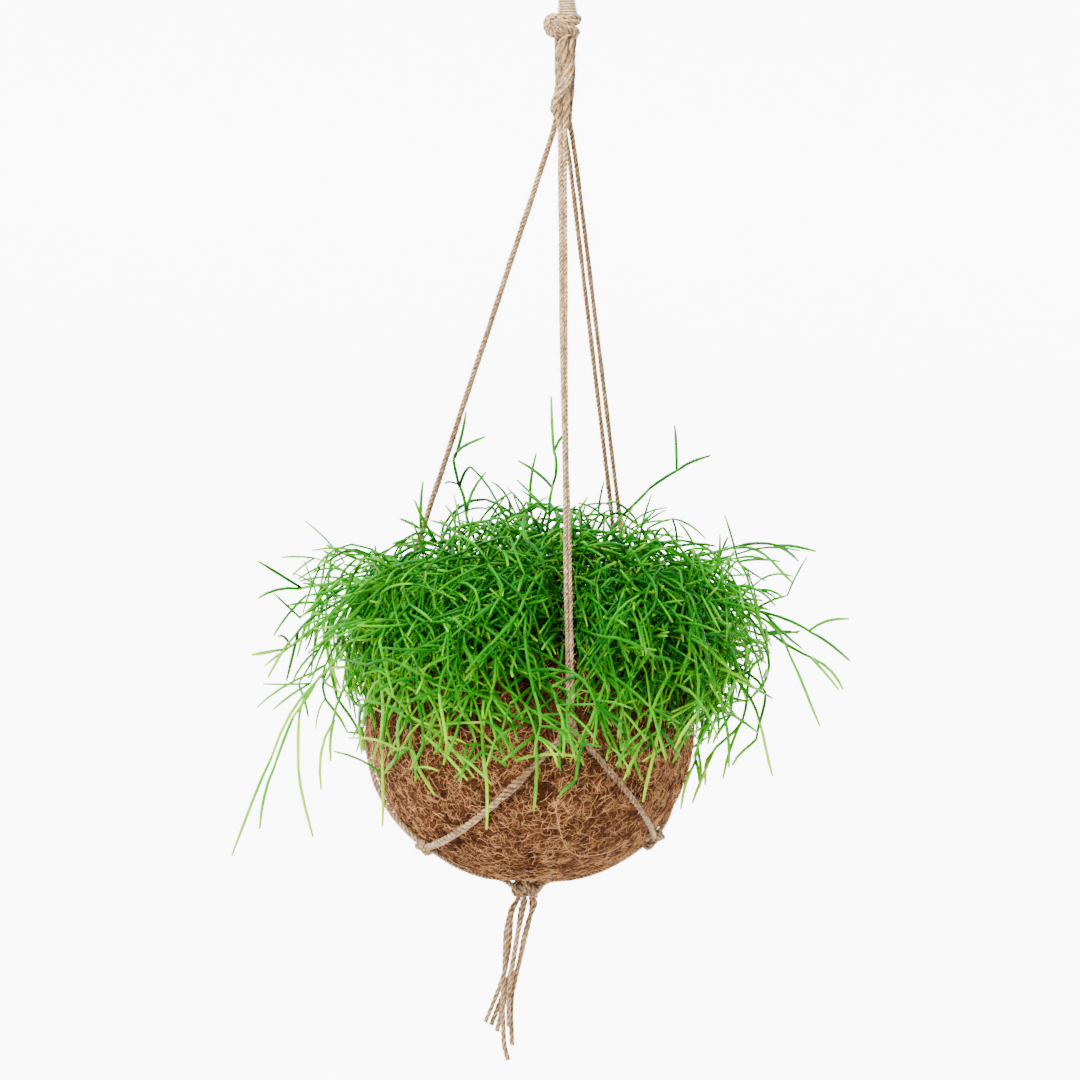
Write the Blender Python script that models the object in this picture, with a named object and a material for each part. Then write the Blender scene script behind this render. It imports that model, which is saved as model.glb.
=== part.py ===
"""Mistletoe cactus kokedama: a coir-wrapped ball of soil with its plant, hanging in a knotted jute hanger.

Metres, +Z up. The origin is the top of the hanging loop's eye, where a hook carries the loop.
"""

import math
import random

import bmesh
import bpy
import numpy as np
from mathutils import Matrix, Vector

GAP = 0.0003
UP = Vector((0, 0, 1))

# The coir ball, turned about the plumb line below the loop
BALL_CENTRE = Vector((0, 0, -0.448))
BALL_RADIUS = 0.090
BALL_DEPTH = 0.089
BALL_FULLNESS = 2.15
RIM_HEIGHT = 0.042
COIR_WALL = 0.008
SOIL_EDGE_HEIGHT = 0.036
SOIL_DOME_HEIGHT = 0.039
BALL_SIDES = 24

# The jute cord and its knots
CORD = 0.0026
TAIL_CORD = 0.0025
CORD_LIFT = CORD / 2 + GAP + 0.0005
KNOT_SCALE = 0.00125
KNOT_CORD = 0.0016
KNOT_STEPS = 15
KNOT_DEPTH = 1.4
KNOT_LIFT = 0.0029
KNOT_REACH = 3 * KNOT_SCALE + KNOT_CORD / 2

# The hanging loop, its neck and the top knot
LOOP_CORD = 0.0048
LOOP_EYE_WIDTH = 0.020
LOOP_EYE_HEIGHT = 0.036
LOOP_NECK = 0.0066
LOOP_NECK_SIDES = 8
LOOP_NECK_BOTTOM = -0.0535
TOP_KNOT_Z = -0.0610
TOP_KNOT_SCALE = 0.0023
TOP_KNOT_CORD = 0.0044
TOP_KNOT_CORE = (0.0062, 0.0062, 0.0056)
BINDING_CORD = 0.0014
BINDING_TURNS = 5
BINDING_TOP_Z = -0.0495
BINDING_SPREAD = 0.0005
# Share of the eye's width left at its foot, and how much it swells above that to make up for it
LOOP_FOOT_SHARE = 0.30
LOOP_SWELL = 1.32

# The neck of six strands twisted round each other, and where the three pairs leave it
NECK_TOP_Z = -0.0663
NECK_END_Z = -0.1160
NECK_RADIUS = 0.0034
NECK_TWIST = math.radians(290)
NECK_STEPS = 7
PAIR_SPREAD = math.radians(28)

# Each pair: name, azimuth from the front towards the right in degrees, height of its knot over the ball's
# centre, half the spacing of its strands at the knot
PAIRS = (
    ("front", 13, 0.004, 0.00150),
    ("back_right", 143, 0.014, 0.00210),
    ("left", -104, 0.015, 0.00155),
)
# Each lower knot: name, azimuth, height over the ball's centre, pairs that reach it from left and right
LOWER_KNOTS = (
    ("front_left", -64, -0.0690, "left", "front"),
    ("front_right", 79, -0.0600, "front", "back_right"),
    ("back", 196, -0.0640, "back_right", "left"),
)
# Where a strand bends on its way down the ball, as shares of the way from its first touch to its knot
STRAND_BENDS = (0, 0.35)
SLANT_STEPS = 7
UNDER_STEPS = 5
UNDER_HALF_SPACING = 0.0016
UNDER_LEAVES_BALL = 0.014
UNDER_LANDING_RISE = 0.0012

# The bottom knot and the loose tails below it
BOTTOM_KNOT = Vector((0.0005, 0, -0.5440))
BOTTOM_KNOT_CORE = (0.0066, 0.0066, 0.0034)
BOTTOM_KNOT_TURN = 0.0053
BOTTOM_KNOT_CORD = 0.0028
BOTTOM_KNOT_AXIS = Vector((0.12, 0.05, 1)).normalized()
TAIL_RING = 0.0040
TAIL_STEP = 0.0074
# Each tail: name, where it leaves the bottom knot in degrees round it from the right, and its route points
# below the knot in millimetres, with z measured from the origin
TAIL_ROUTES = (
    ("tail_long", 216, (
        (-6.6, -4.4, -553), (-9.3, -4.2, -566), (-9.3, -3.7, -585), (-9.6, -3.2, -600),
        (-8.9, -3.2, -615), (-7.6, -3.2, -630), (-5.2, -3.2, -638))),
    ("tail_right", 338, (
        (6.2, -1.6, -550), (3.0, -1.7, -559), (0.4, -1.6, -571), (-1.2, -1.2, -583),
        (-4.6, -0.6, -602), (-4.6, -0.6, -613), (-3.3, -1.2, -630))),
    ("tail_front", 277, (
        (-0.6, -5.4, -555), (-3.2, -5.2, -570), (-5.0, -5.9, -585), (-6.2, -6.4, -600),
        (-5.8, -6.2, -619))),
    ("tail_left", 155, (
        (-6.4, 2.6, -556), (-7.2, 2.9, -572), (-8.9, 2.6, -588), (-12.9, 2.1, -602),
        (-18.8, 1.6, -618))),
    ("tail_back", 96, (
        (-1.8, 5.8, -556), (-3.2, 6.4, -572), (-5.5, 6.4, -588), (-10.0, 5.8, -604),
        (-15.5, 5.2, -620))),
    ("tail_back_right", 38, (
        (4.0, 4.4, -556), (1.0, 3.0, -572), (-2.2, 3.0, -588), (-8.2, 2.3, -604),
        (-12.1, 1.6, -623))),
)

# The plant's stems
STEM_RADIUS = 0.00115
STEM_SIDES = 3
ROOT_DEPTH = 0.007
HOLE_RADIUS = 0.0022
HOLE_SIDES = 4
HOLE_MOUTH_RISE = 0.004
BALL_MARGIN = 0.0012
SEED = 41
ROLL_SEED = 1041
# A leader has spans of one length in its curve; each new try moves its handles and its tip a little further
LEADER_SPANS = 6
LEADER_TRIES = 240
HANDLE_SHAKE = 0.00012
TIP_SHAKE = 0.00004
SIDE_STEM_TRIES = 120
SIDE_STEM_SPANS = 3
SIDE_STEM_HANDLE = 0.35
# A twig: how many a spray has, its length, how its direction leaves the stem, and how it is chosen
TWIGS_A_SPRAY = 20
TWIG_SHORTEST = 0.016
TWIG_LONGEST = 0.034
FORK_LEAST = 24
FORK_MOST = 74
LEAN_OUT = 0.20
DROOP = 0.05
DROOP_A_FORK = 0.06
DROOP_FAR_OUT = 0.24
TIP_DROP = 0.010
TWIG_FREE_FROM = 0.007
TWIG_TRIES = 14
PLACE_TRIES = 3
PLACES_COMPARED = 3
FORK_SETBACKS = (0.0018, 0.0044)
# Dome that the twigs fill: half width, height of its middle, half height above and below that
DOME_HALF_WIDTH = 0.128
DOME_SHIFT = 0.007
DOME_MIDDLE = 0.030
DOME_UP = 0.090
DOME_DOWN = 0.098
# Each spray: name, root x and y, tip x, y and height over the ball's centre, rise from the root, how far
# the stem comes in above its tip, and how far back towards the root; all in millimetres
SPRAYS = (
    ("left_high", (-48, 8), (-155, 12, 60), 45, 14, 42),
    ("left_low", (-62, -22), (-161, -45, -78), 52, 123, 36),
    ("left_middle", (-58, -6), (-146, -25, 19), 48, 55, 22),
    ("left_front", (-50, -38), (-113, -60, -38), 45, 80, 0),
    ("left_top", (-40, -14), (-78, 4, 108), 52, -8, 25),
    ("top_left", (-26, 4), (-49, 0, 145), 55, -35, 3),
    ("top_front", (-2, -14), (6, -18, 150), 50, -40, -2),
    ("top_right", (24, 6), (93, 15, 150), 70, -14, 35),
    ("top_back", (0, 24), (-8, 52, 118), 58, -10, 20),
    ("right_high", (46, 14), (154, 18, 99), 57, 9, 39),
    ("right_middle", (60, -8), (174, -15, 41), 47, 34, 39),
    ("right_side", (62, 14), (173, 25, 22), 40, 38, 28),
    ("right_low", (60, -28), (133, -40, -22), 42, 62, 8),
    ("right_front", (52, -40), (108, -66, -16), 40, 66, 2),
    ("front_right", (36, -50), (62, -74, -36), 40, 90, -34),
    ("front_middle", (6, -50), (3, -90, -42), 38, 92, -34),
    ("front_left", (-16, -60), (-22, -82, -54), 36, 96, -42),
    ("front_far_left", (-38, -52), (-79, -56, -57), 40, 95, -12),
    ("front_top", (12, -34), (34, -92, 62), 52, 34, 22),
    ("front_top_left", (-22, -32), (-52, -90, 58), 50, 38, 20),
    ("back_left", (-44, 36), (-108, 70, 8), 48, 62, 8),
    ("back_left_low", (-34, 52), (-62, 92, -40), 42, 100, -22),
    ("back", (-12, 54), (-20, 128, 10), 46, 62, 10),
    ("back_right_low", (24, 48), (34, 100, -36), 44, 98, -24),
    ("back_right", (52, 34), (112, 74, 6), 46, 62, 8),
)
# Long side stems of the sprays that reach furthest: spray, where they leave its leader, tip in millimetres
SIDE_STEMS = (
    ("left_low", 5, (-146, -52, -62)),
    ("left_low", 5, (-117, -44, -66)),
    ("right_high", 5, (141, 2, 82)),
    ("left_high", 3, (-118, 0, 92)),
    ("right_middle", 4, (158, -34, 6)),
)

# Finishes: colour, roughness
FINISHES = {
    "jute": ((0.62, 0.48, 0.33), 0.95),
    "coir": ((0.34, 0.17, 0.09), 0.98),
    "soil": ((0.07, 0.045, 0.03), 1.0),
    "stem_green": ((0.13, 0.42, 0.05), 0.50),
}


def clear_scene():
    for obj in list(bpy.data.objects):
        bpy.data.objects.remove(obj, do_unlink=True)


def finish(name):
    """The material of a finish, made the first time that it is asked for."""
    material = bpy.data.materials.get(name)
    if material is None:
        colour, roughness = FINISHES[name]
        material = bpy.data.materials.new(name)
        material.use_nodes = True
        shader = material.node_tree.nodes["Principled BSDF"]
        shader.inputs["Base Color"].default_value = (*colour, 1)
        shader.inputs["Roughness"].default_value = roughness
        shader.inputs["Metallic"].default_value = 0
    return material


def object_from(name, bm, finish_name):
    mesh = bpy.data.meshes.new(name)
    bm.to_mesh(mesh)
    bm.free()
    mesh.shade_smooth()
    mesh.set_sharp_from_angle(angle=math.radians(50))
    obj = bpy.data.objects.new(name, mesh)
    obj.data.materials.append(finish(finish_name))
    bpy.context.scene.collection.objects.link(obj)
    return obj


def heading(azimuth):
    """Level unit vector at an azimuth in degrees, 0 to the front and 90 to the right."""
    angle = math.radians(azimuth)
    return Vector((math.sin(angle), -math.cos(angle), 0))


def smooth_route(points, step):
    """Points at about one step on a smooth curve through the route points."""
    guide = [points[0] * 2 - points[1], *points, points[-1] * 2 - points[-2]]
    fine = []
    for before, start, end, after in zip(guide, guide[1:], guide[2:], guide[3:]):
        pieces = max(1, round((end - start).length / step))
        for piece in range(pieces):
            t = piece / pieces
            fine.append(0.5 * (2 * start + (end - before) * t
                               + (2 * before - 5 * start + 4 * end - after) * t * t
                               + (3 * start - before - 3 * end + after) * t ** 3))
    return [*fine, points[-1]]


# Tubes and rings

def ring_frames(points, closed):
    """A pair of directions across the tube at each point, turning no more than the route makes them."""
    count = len(points)
    tangents = []
    for index, point in enumerate(points):
        after = points[(index + 1) % count] if closed or index < count - 1 else point
        before = points[index - 1] if closed or index > 0 else point
        tangents.append((after - before).normalized())
    across = tangents[0].orthogonal().normalized()
    frames = []
    for tangent in tangents:
        across = (across - tangent * across.dot(tangent)).normalized()
        frames.append((across.copy(), tangent.cross(across)))
    if closed:
        first, side = frames[0]
        last = (across - tangents[0] * across.dot(tangents[0])).normalized()
        slip = math.atan2(last.dot(side), last.dot(first))
        for index, (across, side) in enumerate(frames):
            untwist = Matrix.Rotation(-slip * index / count, 3, tangents[index])
            frames[index] = (untwist @ across, untwist @ side)
    return frames


def add_tube(bm, points, radius, sides, closed=False, roll=0.0):
    """A tube round the points, capped at its ends unless it closes on itself."""
    rings = []
    for point, (across, side) in zip(points, ring_frames(points, closed)):
        ring = []
        for corner in range(sides):
            angle = roll + 2 * math.pi * corner / sides
            ring.append(bm.verts.new(point + radius * (math.cos(angle) * across + math.sin(angle) * side)))
        rings.append(ring)
    pairs = list(zip(rings, rings[1:]))
    if closed:
        pairs.append((rings[-1], rings[0]))
    for lower, upper in pairs:
        for corner in range(sides):
            following = (corner + 1) % sides
            bm.faces.new((lower[corner], lower[following], upper[following], upper[corner]))
    if not closed:
        bm.faces.new(list(reversed(rings[0])))
        bm.faces.new(rings[-1])


def tube_object(name, points, radius, sides, finish_name, closed=False, roll=0.0):
    bm = bmesh.new()
    add_tube(bm, points, radius, sides, closed, roll)
    return object_from(name, bm, finish_name)


def ellipsoid_object(name, centre, radii, finish_name, detail=2):
    bm = bmesh.new()
    place = Matrix.Translation(centre) @ Matrix.Diagonal((*radii, 1))
    bmesh.ops.create_icosphere(bm, subdivisions=detail, radius=1, matrix=place)
    return object_from(name, bm, finish_name)


def cord_curve(name, points, thickness, resolution):
    """A cord along its route, as a curve with a round bevel and closed ends."""
    curve = bpy.data.curves.new(name, "CURVE")
    curve.dimensions = "3D"
    curve.bevel_depth = thickness / 2
    curve.bevel_resolution = resolution
    curve.use_fill_caps = True
    spline = curve.splines.new("POLY")
    spline.points.add(len(points) - 1)
    for slot, point in zip(spline.points, points):
        slot.co = (*point, 1)
    curve.materials.append(finish("jute"))
    obj = bpy.data.objects.new(name, curve)
    bpy.context.scene.collection.objects.link(obj)
    return obj


# Boolean joins and cuts

def combine(obj, others, operation):
    """Join the others to the object or cut them from it, and keep only its largest body."""
    collection = bpy.data.collections.new(obj.name + "_others")
    bpy.context.scene.collection.children.link(collection)
    for other in others:
        bpy.context.scene.collection.objects.unlink(other)
        collection.objects.link(other)
    modifier = obj.modifiers.new("combine", "BOOLEAN")
    modifier.operation = operation
    modifier.operand_type = "COLLECTION"
    modifier.collection = collection
    modifier.solver = "EXACT"
    graph = bpy.context.evaluated_depsgraph_get()
    result = bpy.data.meshes.new_from_object(obj.evaluated_get(graph))
    obj.modifiers.remove(modifier)
    obj.data = result
    for other in others:
        bpy.data.objects.remove(other, do_unlink=True)
    bpy.data.collections.remove(collection)
    keep_largest_body(obj)


def keep_largest_body(obj):
    """Drop the loose scraps that a join or a cut can leave."""
    bm = bmesh.new()
    bm.from_mesh(obj.data)
    bmesh.ops.triangulate(bm, faces=bm.faces)
    unseen = set(bm.faces)
    bodies = []
    while unseen:
        front = [unseen.pop()]
        body = list(front)
        while front:
            for edge in front.pop().edges:
                for face in edge.link_faces:
                    if face in unseen and len(edge.link_faces) == 2:
                        unseen.discard(face)
                        body.append(face)
                        front.append(face)
        bodies.append(body)
    bodies.sort(key=len)
    for scrap in bodies[:-1]:
        bmesh.ops.delete(bm, geom=scrap, context="FACES")
    bm.to_mesh(obj.data)
    bm.free()


# The ball

def ball_reach(direction):
    """How far the ball's surface lies from its centre in a unit direction."""
    if direction.z >= 0:
        return BALL_RADIUS
    across = math.hypot(direction.x, direction.y)
    power = BALL_FULLNESS
    sum_of_powers = (across / BALL_RADIUS) ** power + (-direction.z / BALL_DEPTH) ** power
    return sum_of_powers ** (-1 / power)


def ball_radius_at(height):
    """The ball's radius at a height over its centre."""
    if height >= 0:
        return math.sqrt(max(0, BALL_RADIUS ** 2 - height ** 2))
    share = min(1, -height / BALL_DEPTH) ** BALL_FULLNESS
    return BALL_RADIUS * (1 - share) ** (1 / BALL_FULLNESS)


def on_ball(azimuth, height, lift):
    """The point over the ball's surface at an azimuth and a height, lifted off along its direction."""
    spot = heading(azimuth) * ball_radius_at(height) + UP * height
    return BALL_CENTRE + spot + spot.normalized() * lift


def turned_object(name, centre, profile, sides, finish_name):
    """The body that a profile of (radius, height) points from axis to axis sweeps round the plumb line."""
    bm = bmesh.new()
    verts = [bm.verts.new(centre + Vector((radius, 0, height))) for radius, height in profile]
    edges = [bm.edges.new(pair) for pair in zip(verts, verts[1:])]
    bmesh.ops.spin(bm, geom=verts + edges, cent=centre, axis=UP, angle=2 * math.pi, steps=sides)
    bmesh.ops.remove_doubles(bm, verts=bm.verts, dist=1e-6)
    bmesh.ops.recalc_face_normals(bm, faces=bm.faces)
    return object_from(name, bm, finish_name)


def ball_profile(inset, top, steps):
    """Profile points of the ball's surface moved in by an inset, from its lowest point up to a height."""
    lowest = -(BALL_DEPTH - inset)
    points = [(0, lowest)]
    for step in range(1, steps + 1):
        turn = math.asin(top / (BALL_RADIUS - inset)) + math.pi / 2
        angle = turn * step / steps - math.pi / 2
        direction = Vector((math.cos(angle), 0, math.sin(angle)))
        reach = ball_reach(direction) - inset
        points.append((reach * direction.x, reach * direction.z))
    return points


def make_ball(roots):
    outer = ball_profile(0, RIM_HEIGHT, 8)
    rim_radius = math.sqrt((BALL_RADIUS - COIR_WALL) ** 2 - RIM_HEIGHT ** 2)
    inner = [*ball_profile(COIR_WALL, SOIL_EDGE_HEIGHT, 6), (rim_radius, RIM_HEIGHT)]
    turned_object("coir_wrap", BALL_CENTRE, outer + inner[::-1], BALL_SIDES, "coir")
    soil_side = ball_profile(COIR_WALL + 2 * GAP, SOIL_EDGE_HEIGHT, 6)
    profile = [*soil_side, (0, SOIL_DOME_HEIGHT)]
    soil = turned_object("soil_ball", BALL_CENTRE, profile, BALL_SIDES, "soil")
    holes = []
    for index, root in enumerate(roots):
        mouth = root + UP * HOLE_MOUTH_RISE
        floor = root - UP * (ROOT_DEPTH + GAP)
        holes.append(tube_object(f"hole_{index}", [floor, mouth], HOLE_RADIUS, HOLE_SIDES, "soil"))
    combine(soil, holes, "DIFFERENCE")


def soil_point(x, y):
    """The point on the soil's domed top over a place on the ball's plan."""
    edge = math.sqrt((BALL_RADIUS - COIR_WALL) ** 2 - SOIL_EDGE_HEIGHT ** 2)
    share = math.hypot(x, y) / edge
    height = SOIL_DOME_HEIGHT - (SOIL_DOME_HEIGHT - SOIL_EDGE_HEIGHT) * share
    return BALL_CENTRE + Vector((x, y, height))


# The hanger

def overhand(centre, axis, upright, scale, steps, depth=1.0):
    """Points on the path of an overhand knot, flat side along the axis and one of its lobes upright."""
    side = upright.cross(axis).normalized()
    lobe = axis.cross(side)
    points = []
    for step in range(steps):
        t = 2 * math.pi * step / steps
        across = math.sin(t) + 2 * math.sin(2 * t)
        along = 2 * math.cos(2 * t) - math.cos(t)
        points.append(centre + (side * across + lobe * along - axis * math.sin(3 * t) * depth) * scale)
    return points


def make_knot(name, centre, upright):
    """A knot that lies flat on the ball, deep enough that its turns pass one another freely."""
    axis = (centre - BALL_CENTRE).normalized()
    route = overhand(centre, axis, upright, KNOT_SCALE, KNOT_STEPS, KNOT_DEPTH)
    tube_object(name, route, KNOT_CORD / 2, 4, "jute", closed=True)


def ring_route(centre, axis, radius, steps):
    """Points of a circle round an axis."""
    first = axis.orthogonal().normalized()
    second = axis.cross(first)
    angles = [2 * math.pi * step / steps for step in range(steps)]
    return [centre + (first * math.cos(angle) + second * math.sin(angle)) * radius for angle in angles]


def make_bottom_knot():
    """The knot that gathers all six strands: a core with a turn of cord drawn round it."""
    knot = ellipsoid_object("bottom_knot", BOTTOM_KNOT, BOTTOM_KNOT_CORE, "jute")
    route = ring_route(BOTTOM_KNOT, BOTTOM_KNOT_AXIS, BOTTOM_KNOT_TURN, 10)
    turn = tube_object("turn", route, BOTTOM_KNOT_CORD / 2, 4, "jute", closed=True)
    combine(knot, [turn], "UNION")


def strand_routes():
    """Route of each strand: through the neck, straight to the ball and down it to the upper knot."""
    touch_angle = math.asin((BALL_RADIUS + CORD_LIFT) / (NECK_END_Z - BALL_CENTRE.z))
    routes = {}
    for name, azimuth, height, half_spacing in PAIRS:
        knot = on_ball(azimuth, height, KNOT_LIFT)
        for side, sign in (("a", -1), ("b", 1)):
            points = []
            for step in range(NECK_STEPS + 1):
                share = step / NECK_STEPS
                angle = azimuth + math.degrees(sign * PAIR_SPREAD + NECK_TWIST * (1 - share))
                z = NECK_TOP_Z + (NECK_END_Z - NECK_TOP_Z) * share
                points.append(heading(angle) * NECK_RADIUS + UP * z)
            beside = heading(azimuth + 90) * sign * half_spacing
            knot_angle = math.asin(height / BALL_RADIUS)
            for share in STRAND_BENDS:
                angle = touch_angle + (knot_angle - touch_angle) * share
                direction = heading(azimuth) * math.cos(angle) + UP * math.sin(angle)
                points.append(BALL_CENTRE + direction * (BALL_RADIUS + CORD_LIFT) + beside)
            run = (knot + beside - points[-1]).normalized()
            points.append(knot + beside - run * (KNOT_REACH + GAP))
            routes[f"strand_{name}_{side}"] = points
    return routes


def geodesic(start, end, steps):
    """Points of the shortest way over the ball between two points near it, both ends included."""
    from_centre = (start - BALL_CENTRE).normalized()
    to_centre = (end - BALL_CENTRE).normalized()
    points = []
    for step in range(steps + 1):
        direction = from_centre.slerp(to_centre, step / steps)
        points.append(BALL_CENTRE + direction * (ball_reach(direction) + CORD_LIFT))
    return points


def between_knots(start_knot, end_knot, steps):
    """A cord's route over the ball from one knot to another, with its ends against both knots."""
    points = geodesic(start_knot, end_knot, steps)
    first = start_knot + (points[1] - start_knot).normalized() * (KNOT_REACH + GAP)
    last = end_knot + (points[-2] - end_knot).normalized() * (KNOT_REACH + GAP)
    return [first, *points[1:-1], last]


def under_route(knot, azimuth, sign):
    """A strand's route from a lower knot under the ball to the side of the bottom knot."""
    beside = heading(azimuth + 90) * sign * UNDER_HALF_SPACING
    low = BALL_CENTRE - UP * (BALL_DEPTH + CORD_LIFT)
    start = knot + beside
    path = geodesic(start, low + heading(azimuth) * UNDER_LEAVES_BALL + beside, UNDER_STEPS)
    first = start + (path[1] - start).normalized() * (KNOT_REACH + GAP)
    reach = BOTTOM_KNOT_TURN + BOTTOM_KNOT_CORD / 2 + GAP
    landing = BOTTOM_KNOT + UP * UNDER_LANDING_RISE + heading(azimuth) * reach + beside
    return [first, *path[1:], landing]


def make_hanger():
    """Make cords and knots; return the routes that the stems must keep clear of."""
    strands = strand_routes()
    for name, route in strands.items():
        cord_curve(name, route, CORD, 1)
    knots = {row[0]: on_ball(row[1], row[2], KNOT_LIFT) for row in PAIRS}
    lower = {row[0]: on_ball(row[1], row[2], KNOT_LIFT) for row in LOWER_KNOTS}
    slants = {}
    for name, _, _, left_pair, right_pair in LOWER_KNOTS:
        slants[f"slant_{left_pair}_to_{name}"] = between_knots(knots[left_pair], lower[name], SLANT_STEPS)
        slants[f"slant_{right_pair}_to_{name}"] = between_knots(knots[right_pair], lower[name], SLANT_STEPS)
    unders = {}
    for name, azimuth, *_ in LOWER_KNOTS:
        for side, sign in (("a", -1), ("b", 1)):
            unders[f"under_{name}_{side}"] = under_route(lower[name], azimuth, sign)
    for name, route in {**slants, **unders}.items():
        cord_curve(name, route, CORD, 1)

    for name, centre in knots.items():
        make_knot(f"upper_knot_{name}", centre, UP)
    for name, centre in lower.items():
        make_knot(f"lower_knot_{name}", centre, -UP)
    make_bottom_knot()
    for name, route in tail_routes().items():
        cord_curve(name, route, TAIL_CORD, 2)
    make_top()
    return [*strands.values(), *slants.values()], [*knots.values(), *lower.values()]


def tail_routes():
    routes = {}
    inner = (TAIL_RING - TAIL_CORD / 2) / BOTTOM_KNOT_CORE[0]
    drop = BOTTOM_KNOT_CORE[2] * math.sqrt(1 - inner ** 2) + GAP
    for name, degrees, below in TAIL_ROUTES:
        turn = math.radians(degrees)
        start = BOTTOM_KNOT + Vector((math.cos(turn), math.sin(turn), 0)) * TAIL_RING - UP * drop
        points = [start, *(Vector(point) / 1000 for point in below)]
        routes[name] = smooth_route(points, TAIL_STEP)
    return routes


def loop_route(steps):
    """The loop's closed path: round at the top, with its two legs drawn together at the bottom."""
    half_width = (LOOP_EYE_WIDTH + LOOP_CORD) / 2
    top = LOOP_CORD / 2
    bottom = -LOOP_EYE_HEIGHT - LOOP_CORD / 2
    points = []
    for step in range(steps):
        t = 2 * math.pi * step / steps
        height = (1 + math.cos(t)) / 2
        pinch = LOOP_FOOT_SHARE + (1 - LOOP_FOOT_SHARE) * height
        width = half_width * math.sin(t) * pinch * LOOP_SWELL
        points.append(Vector((width, 0, bottom + (top - bottom) * height)))
    return points


def binding_profile():
    """Profile of the fine turns round the loop's neck: a ridge for each, wider than the one above."""
    depth = 0
    points = [(0, 0)]
    for turn in range(BINDING_TURNS):
        inner = (LOOP_NECK + BINDING_CORD) / 2 + BINDING_SPREAD * turn
        points.append((inner, depth))
        points.append((inner + BINDING_CORD / 2, depth - BINDING_CORD / 2))
        depth -= BINDING_CORD
    return [*points, (inner, depth), (0, depth)]


def make_top():
    """The hanging loop with its neck, and the top knot with its binding turns."""
    loop = tube_object("hanging_loop", loop_route(18), LOOP_CORD / 2, 6, "jute", closed=True)
    neck_top = -LOOP_EYE_HEIGHT - LOOP_CORD / 2
    neck_route = [UP * neck_top, UP * LOOP_NECK_BOTTOM]
    neck = tube_object("neck", neck_route, LOOP_NECK / 2, LOOP_NECK_SIDES, "jute")
    combine(loop, [neck], "UNION")

    centre = UP * TOP_KNOT_Z
    knot_route = overhand(centre, UP, Vector((0, 1, 0)), TOP_KNOT_SCALE, 21)
    knot = tube_object("top_knot", knot_route, TOP_KNOT_CORD / 2, 5, "jute", closed=True)
    core = ellipsoid_object("core", centre, TOP_KNOT_CORE, "jute")
    binding = turned_object("binding", UP * BINDING_TOP_Z, binding_profile(), 10, "jute")
    combine(knot, [core, binding], "UNION")
    bore_route = [UP * neck_top, UP * (LOOP_NECK_BOTTOM - GAP)]
    bore_radius = LOOP_NECK / 2 + GAP / math.cos(math.pi / LOOP_NECK_SIDES)
    bore = tube_object("bore", bore_route, bore_radius, LOOP_NECK_SIDES, "jute")
    combine(knot, [bore], "DIFFERENCE")


# The plant

class Room:
    """What the stems have to keep clear of: spans with a thickness and an owner, and the ball."""

    def __init__(self):
        self.starts = np.empty((0, 3))
        self.ends = np.empty((0, 3))
        self.radii = np.empty(0)
        self.owners = np.empty(0, int)

    def add(self, points, radius, owner):
        spans = list(zip(points, points[1:]))
        self.starts = np.vstack([self.starts, [tuple(a) for a, _ in spans]])
        self.ends = np.vstack([self.ends, [tuple(b) for _, b in spans]])
        self.radii = np.append(self.radii, [radius] * len(spans))
        self.owners = np.append(self.owners, [owner] * len(spans))

    def distances(self, start, end):
        """Distance between the middle lines of this span and of every span so far."""
        a = np.array(start)
        run = np.array(end) - a
        runs = self.ends - self.starts
        apart = a - self.starts
        own = run @ run
        others = (runs * runs).sum(1)
        lean = runs @ run
        on_others = (runs * apart).sum(1)
        on_own = apart @ run
        spread = np.maximum(own * others - lean ** 2, 1e-18)
        s = np.clip((lean * on_others - on_own * others) / spread, 0, 1)
        t = np.clip((lean * s + on_others) / others, 0, 1)
        s = np.clip((lean * t - on_own) / own, 0, 1)
        between = apart + s[:, None] * run - t[:, None] * runs
        return np.sqrt((between * between).sum(1))

    def is_free(self, points, owner, over_soil=False):
        """Whether a stem along the points is clear of the cords, the other sprays and the ball."""
        for start, end in zip(points, points[1:]):
            if not over_soil and not clear_of_ball(start, end):
                return False
            clear = self.distances(start, end) - self.radii - STEM_RADIUS
            if (clear[self.owners != owner] < 2 * GAP).any():
                return False
        return True


def clear_of_ball(start, end):
    margin = STEM_RADIUS + BALL_MARGIN
    for share in (0.25, 0.5, 0.75, 1.0):
        spot = start.lerp(end, share) - BALL_CENTRE
        around = math.hypot(spot.x, spot.y)
        if spot.z < RIM_HEIGHT + margin:
            if around < ball_radius_at(spot.z) + margin:
                return False
    return True


def leader_route(root, tip, rise, hang, back, shake):
    """The spray's first stem: up from its root, over, and out to its tip."""
    outward = Vector((tip.x - root.x, tip.y - root.y, 0)).normalized()
    first = root + UP * rise + shake[0]
    second = tip + UP * hang - outward * back + shake[1]
    points = []
    for step in range(LEADER_SPANS + 1):
        t = step / LEADER_SPANS
        rising = root * (1 - t) ** 3 + first * 3 * t * (1 - t) ** 2
        falling = second * 3 * t ** 2 * (1 - t) + tip * t ** 3
        points.append(rising + falling)
    return points


def shaken(rng, amount):
    return Vector((rng.uniform(-1, 1), rng.uniform(-1, 1), rng.uniform(-1, 1))) * amount


def grow_leader(room, rng, owner, spray):
    """Bend a leader until it is clear of the other sprays; its first two spans rise inside the rim."""
    _, root, tip, rise, hang, back = spray
    base = soil_point(root[0] / 1000, root[1] / 1000)
    target = BALL_CENTRE + Vector(tip) / 1000
    for attempt in range(LEADER_TRIES):
        shake = [shaken(rng, attempt * HANDLE_SHAKE), shaken(rng, attempt * HANDLE_SHAKE)]
        aim = target + shaken(rng, attempt * TIP_SHAKE)
        points = leader_route(base, aim, rise / 1000, hang / 1000, back / 1000, shake)
        if room.is_free(points[:3], owner, over_soil=True) and room.is_free(points[2:], owner):
            return [base - UP * ROOT_DEPTH, *points]
    return None


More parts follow.
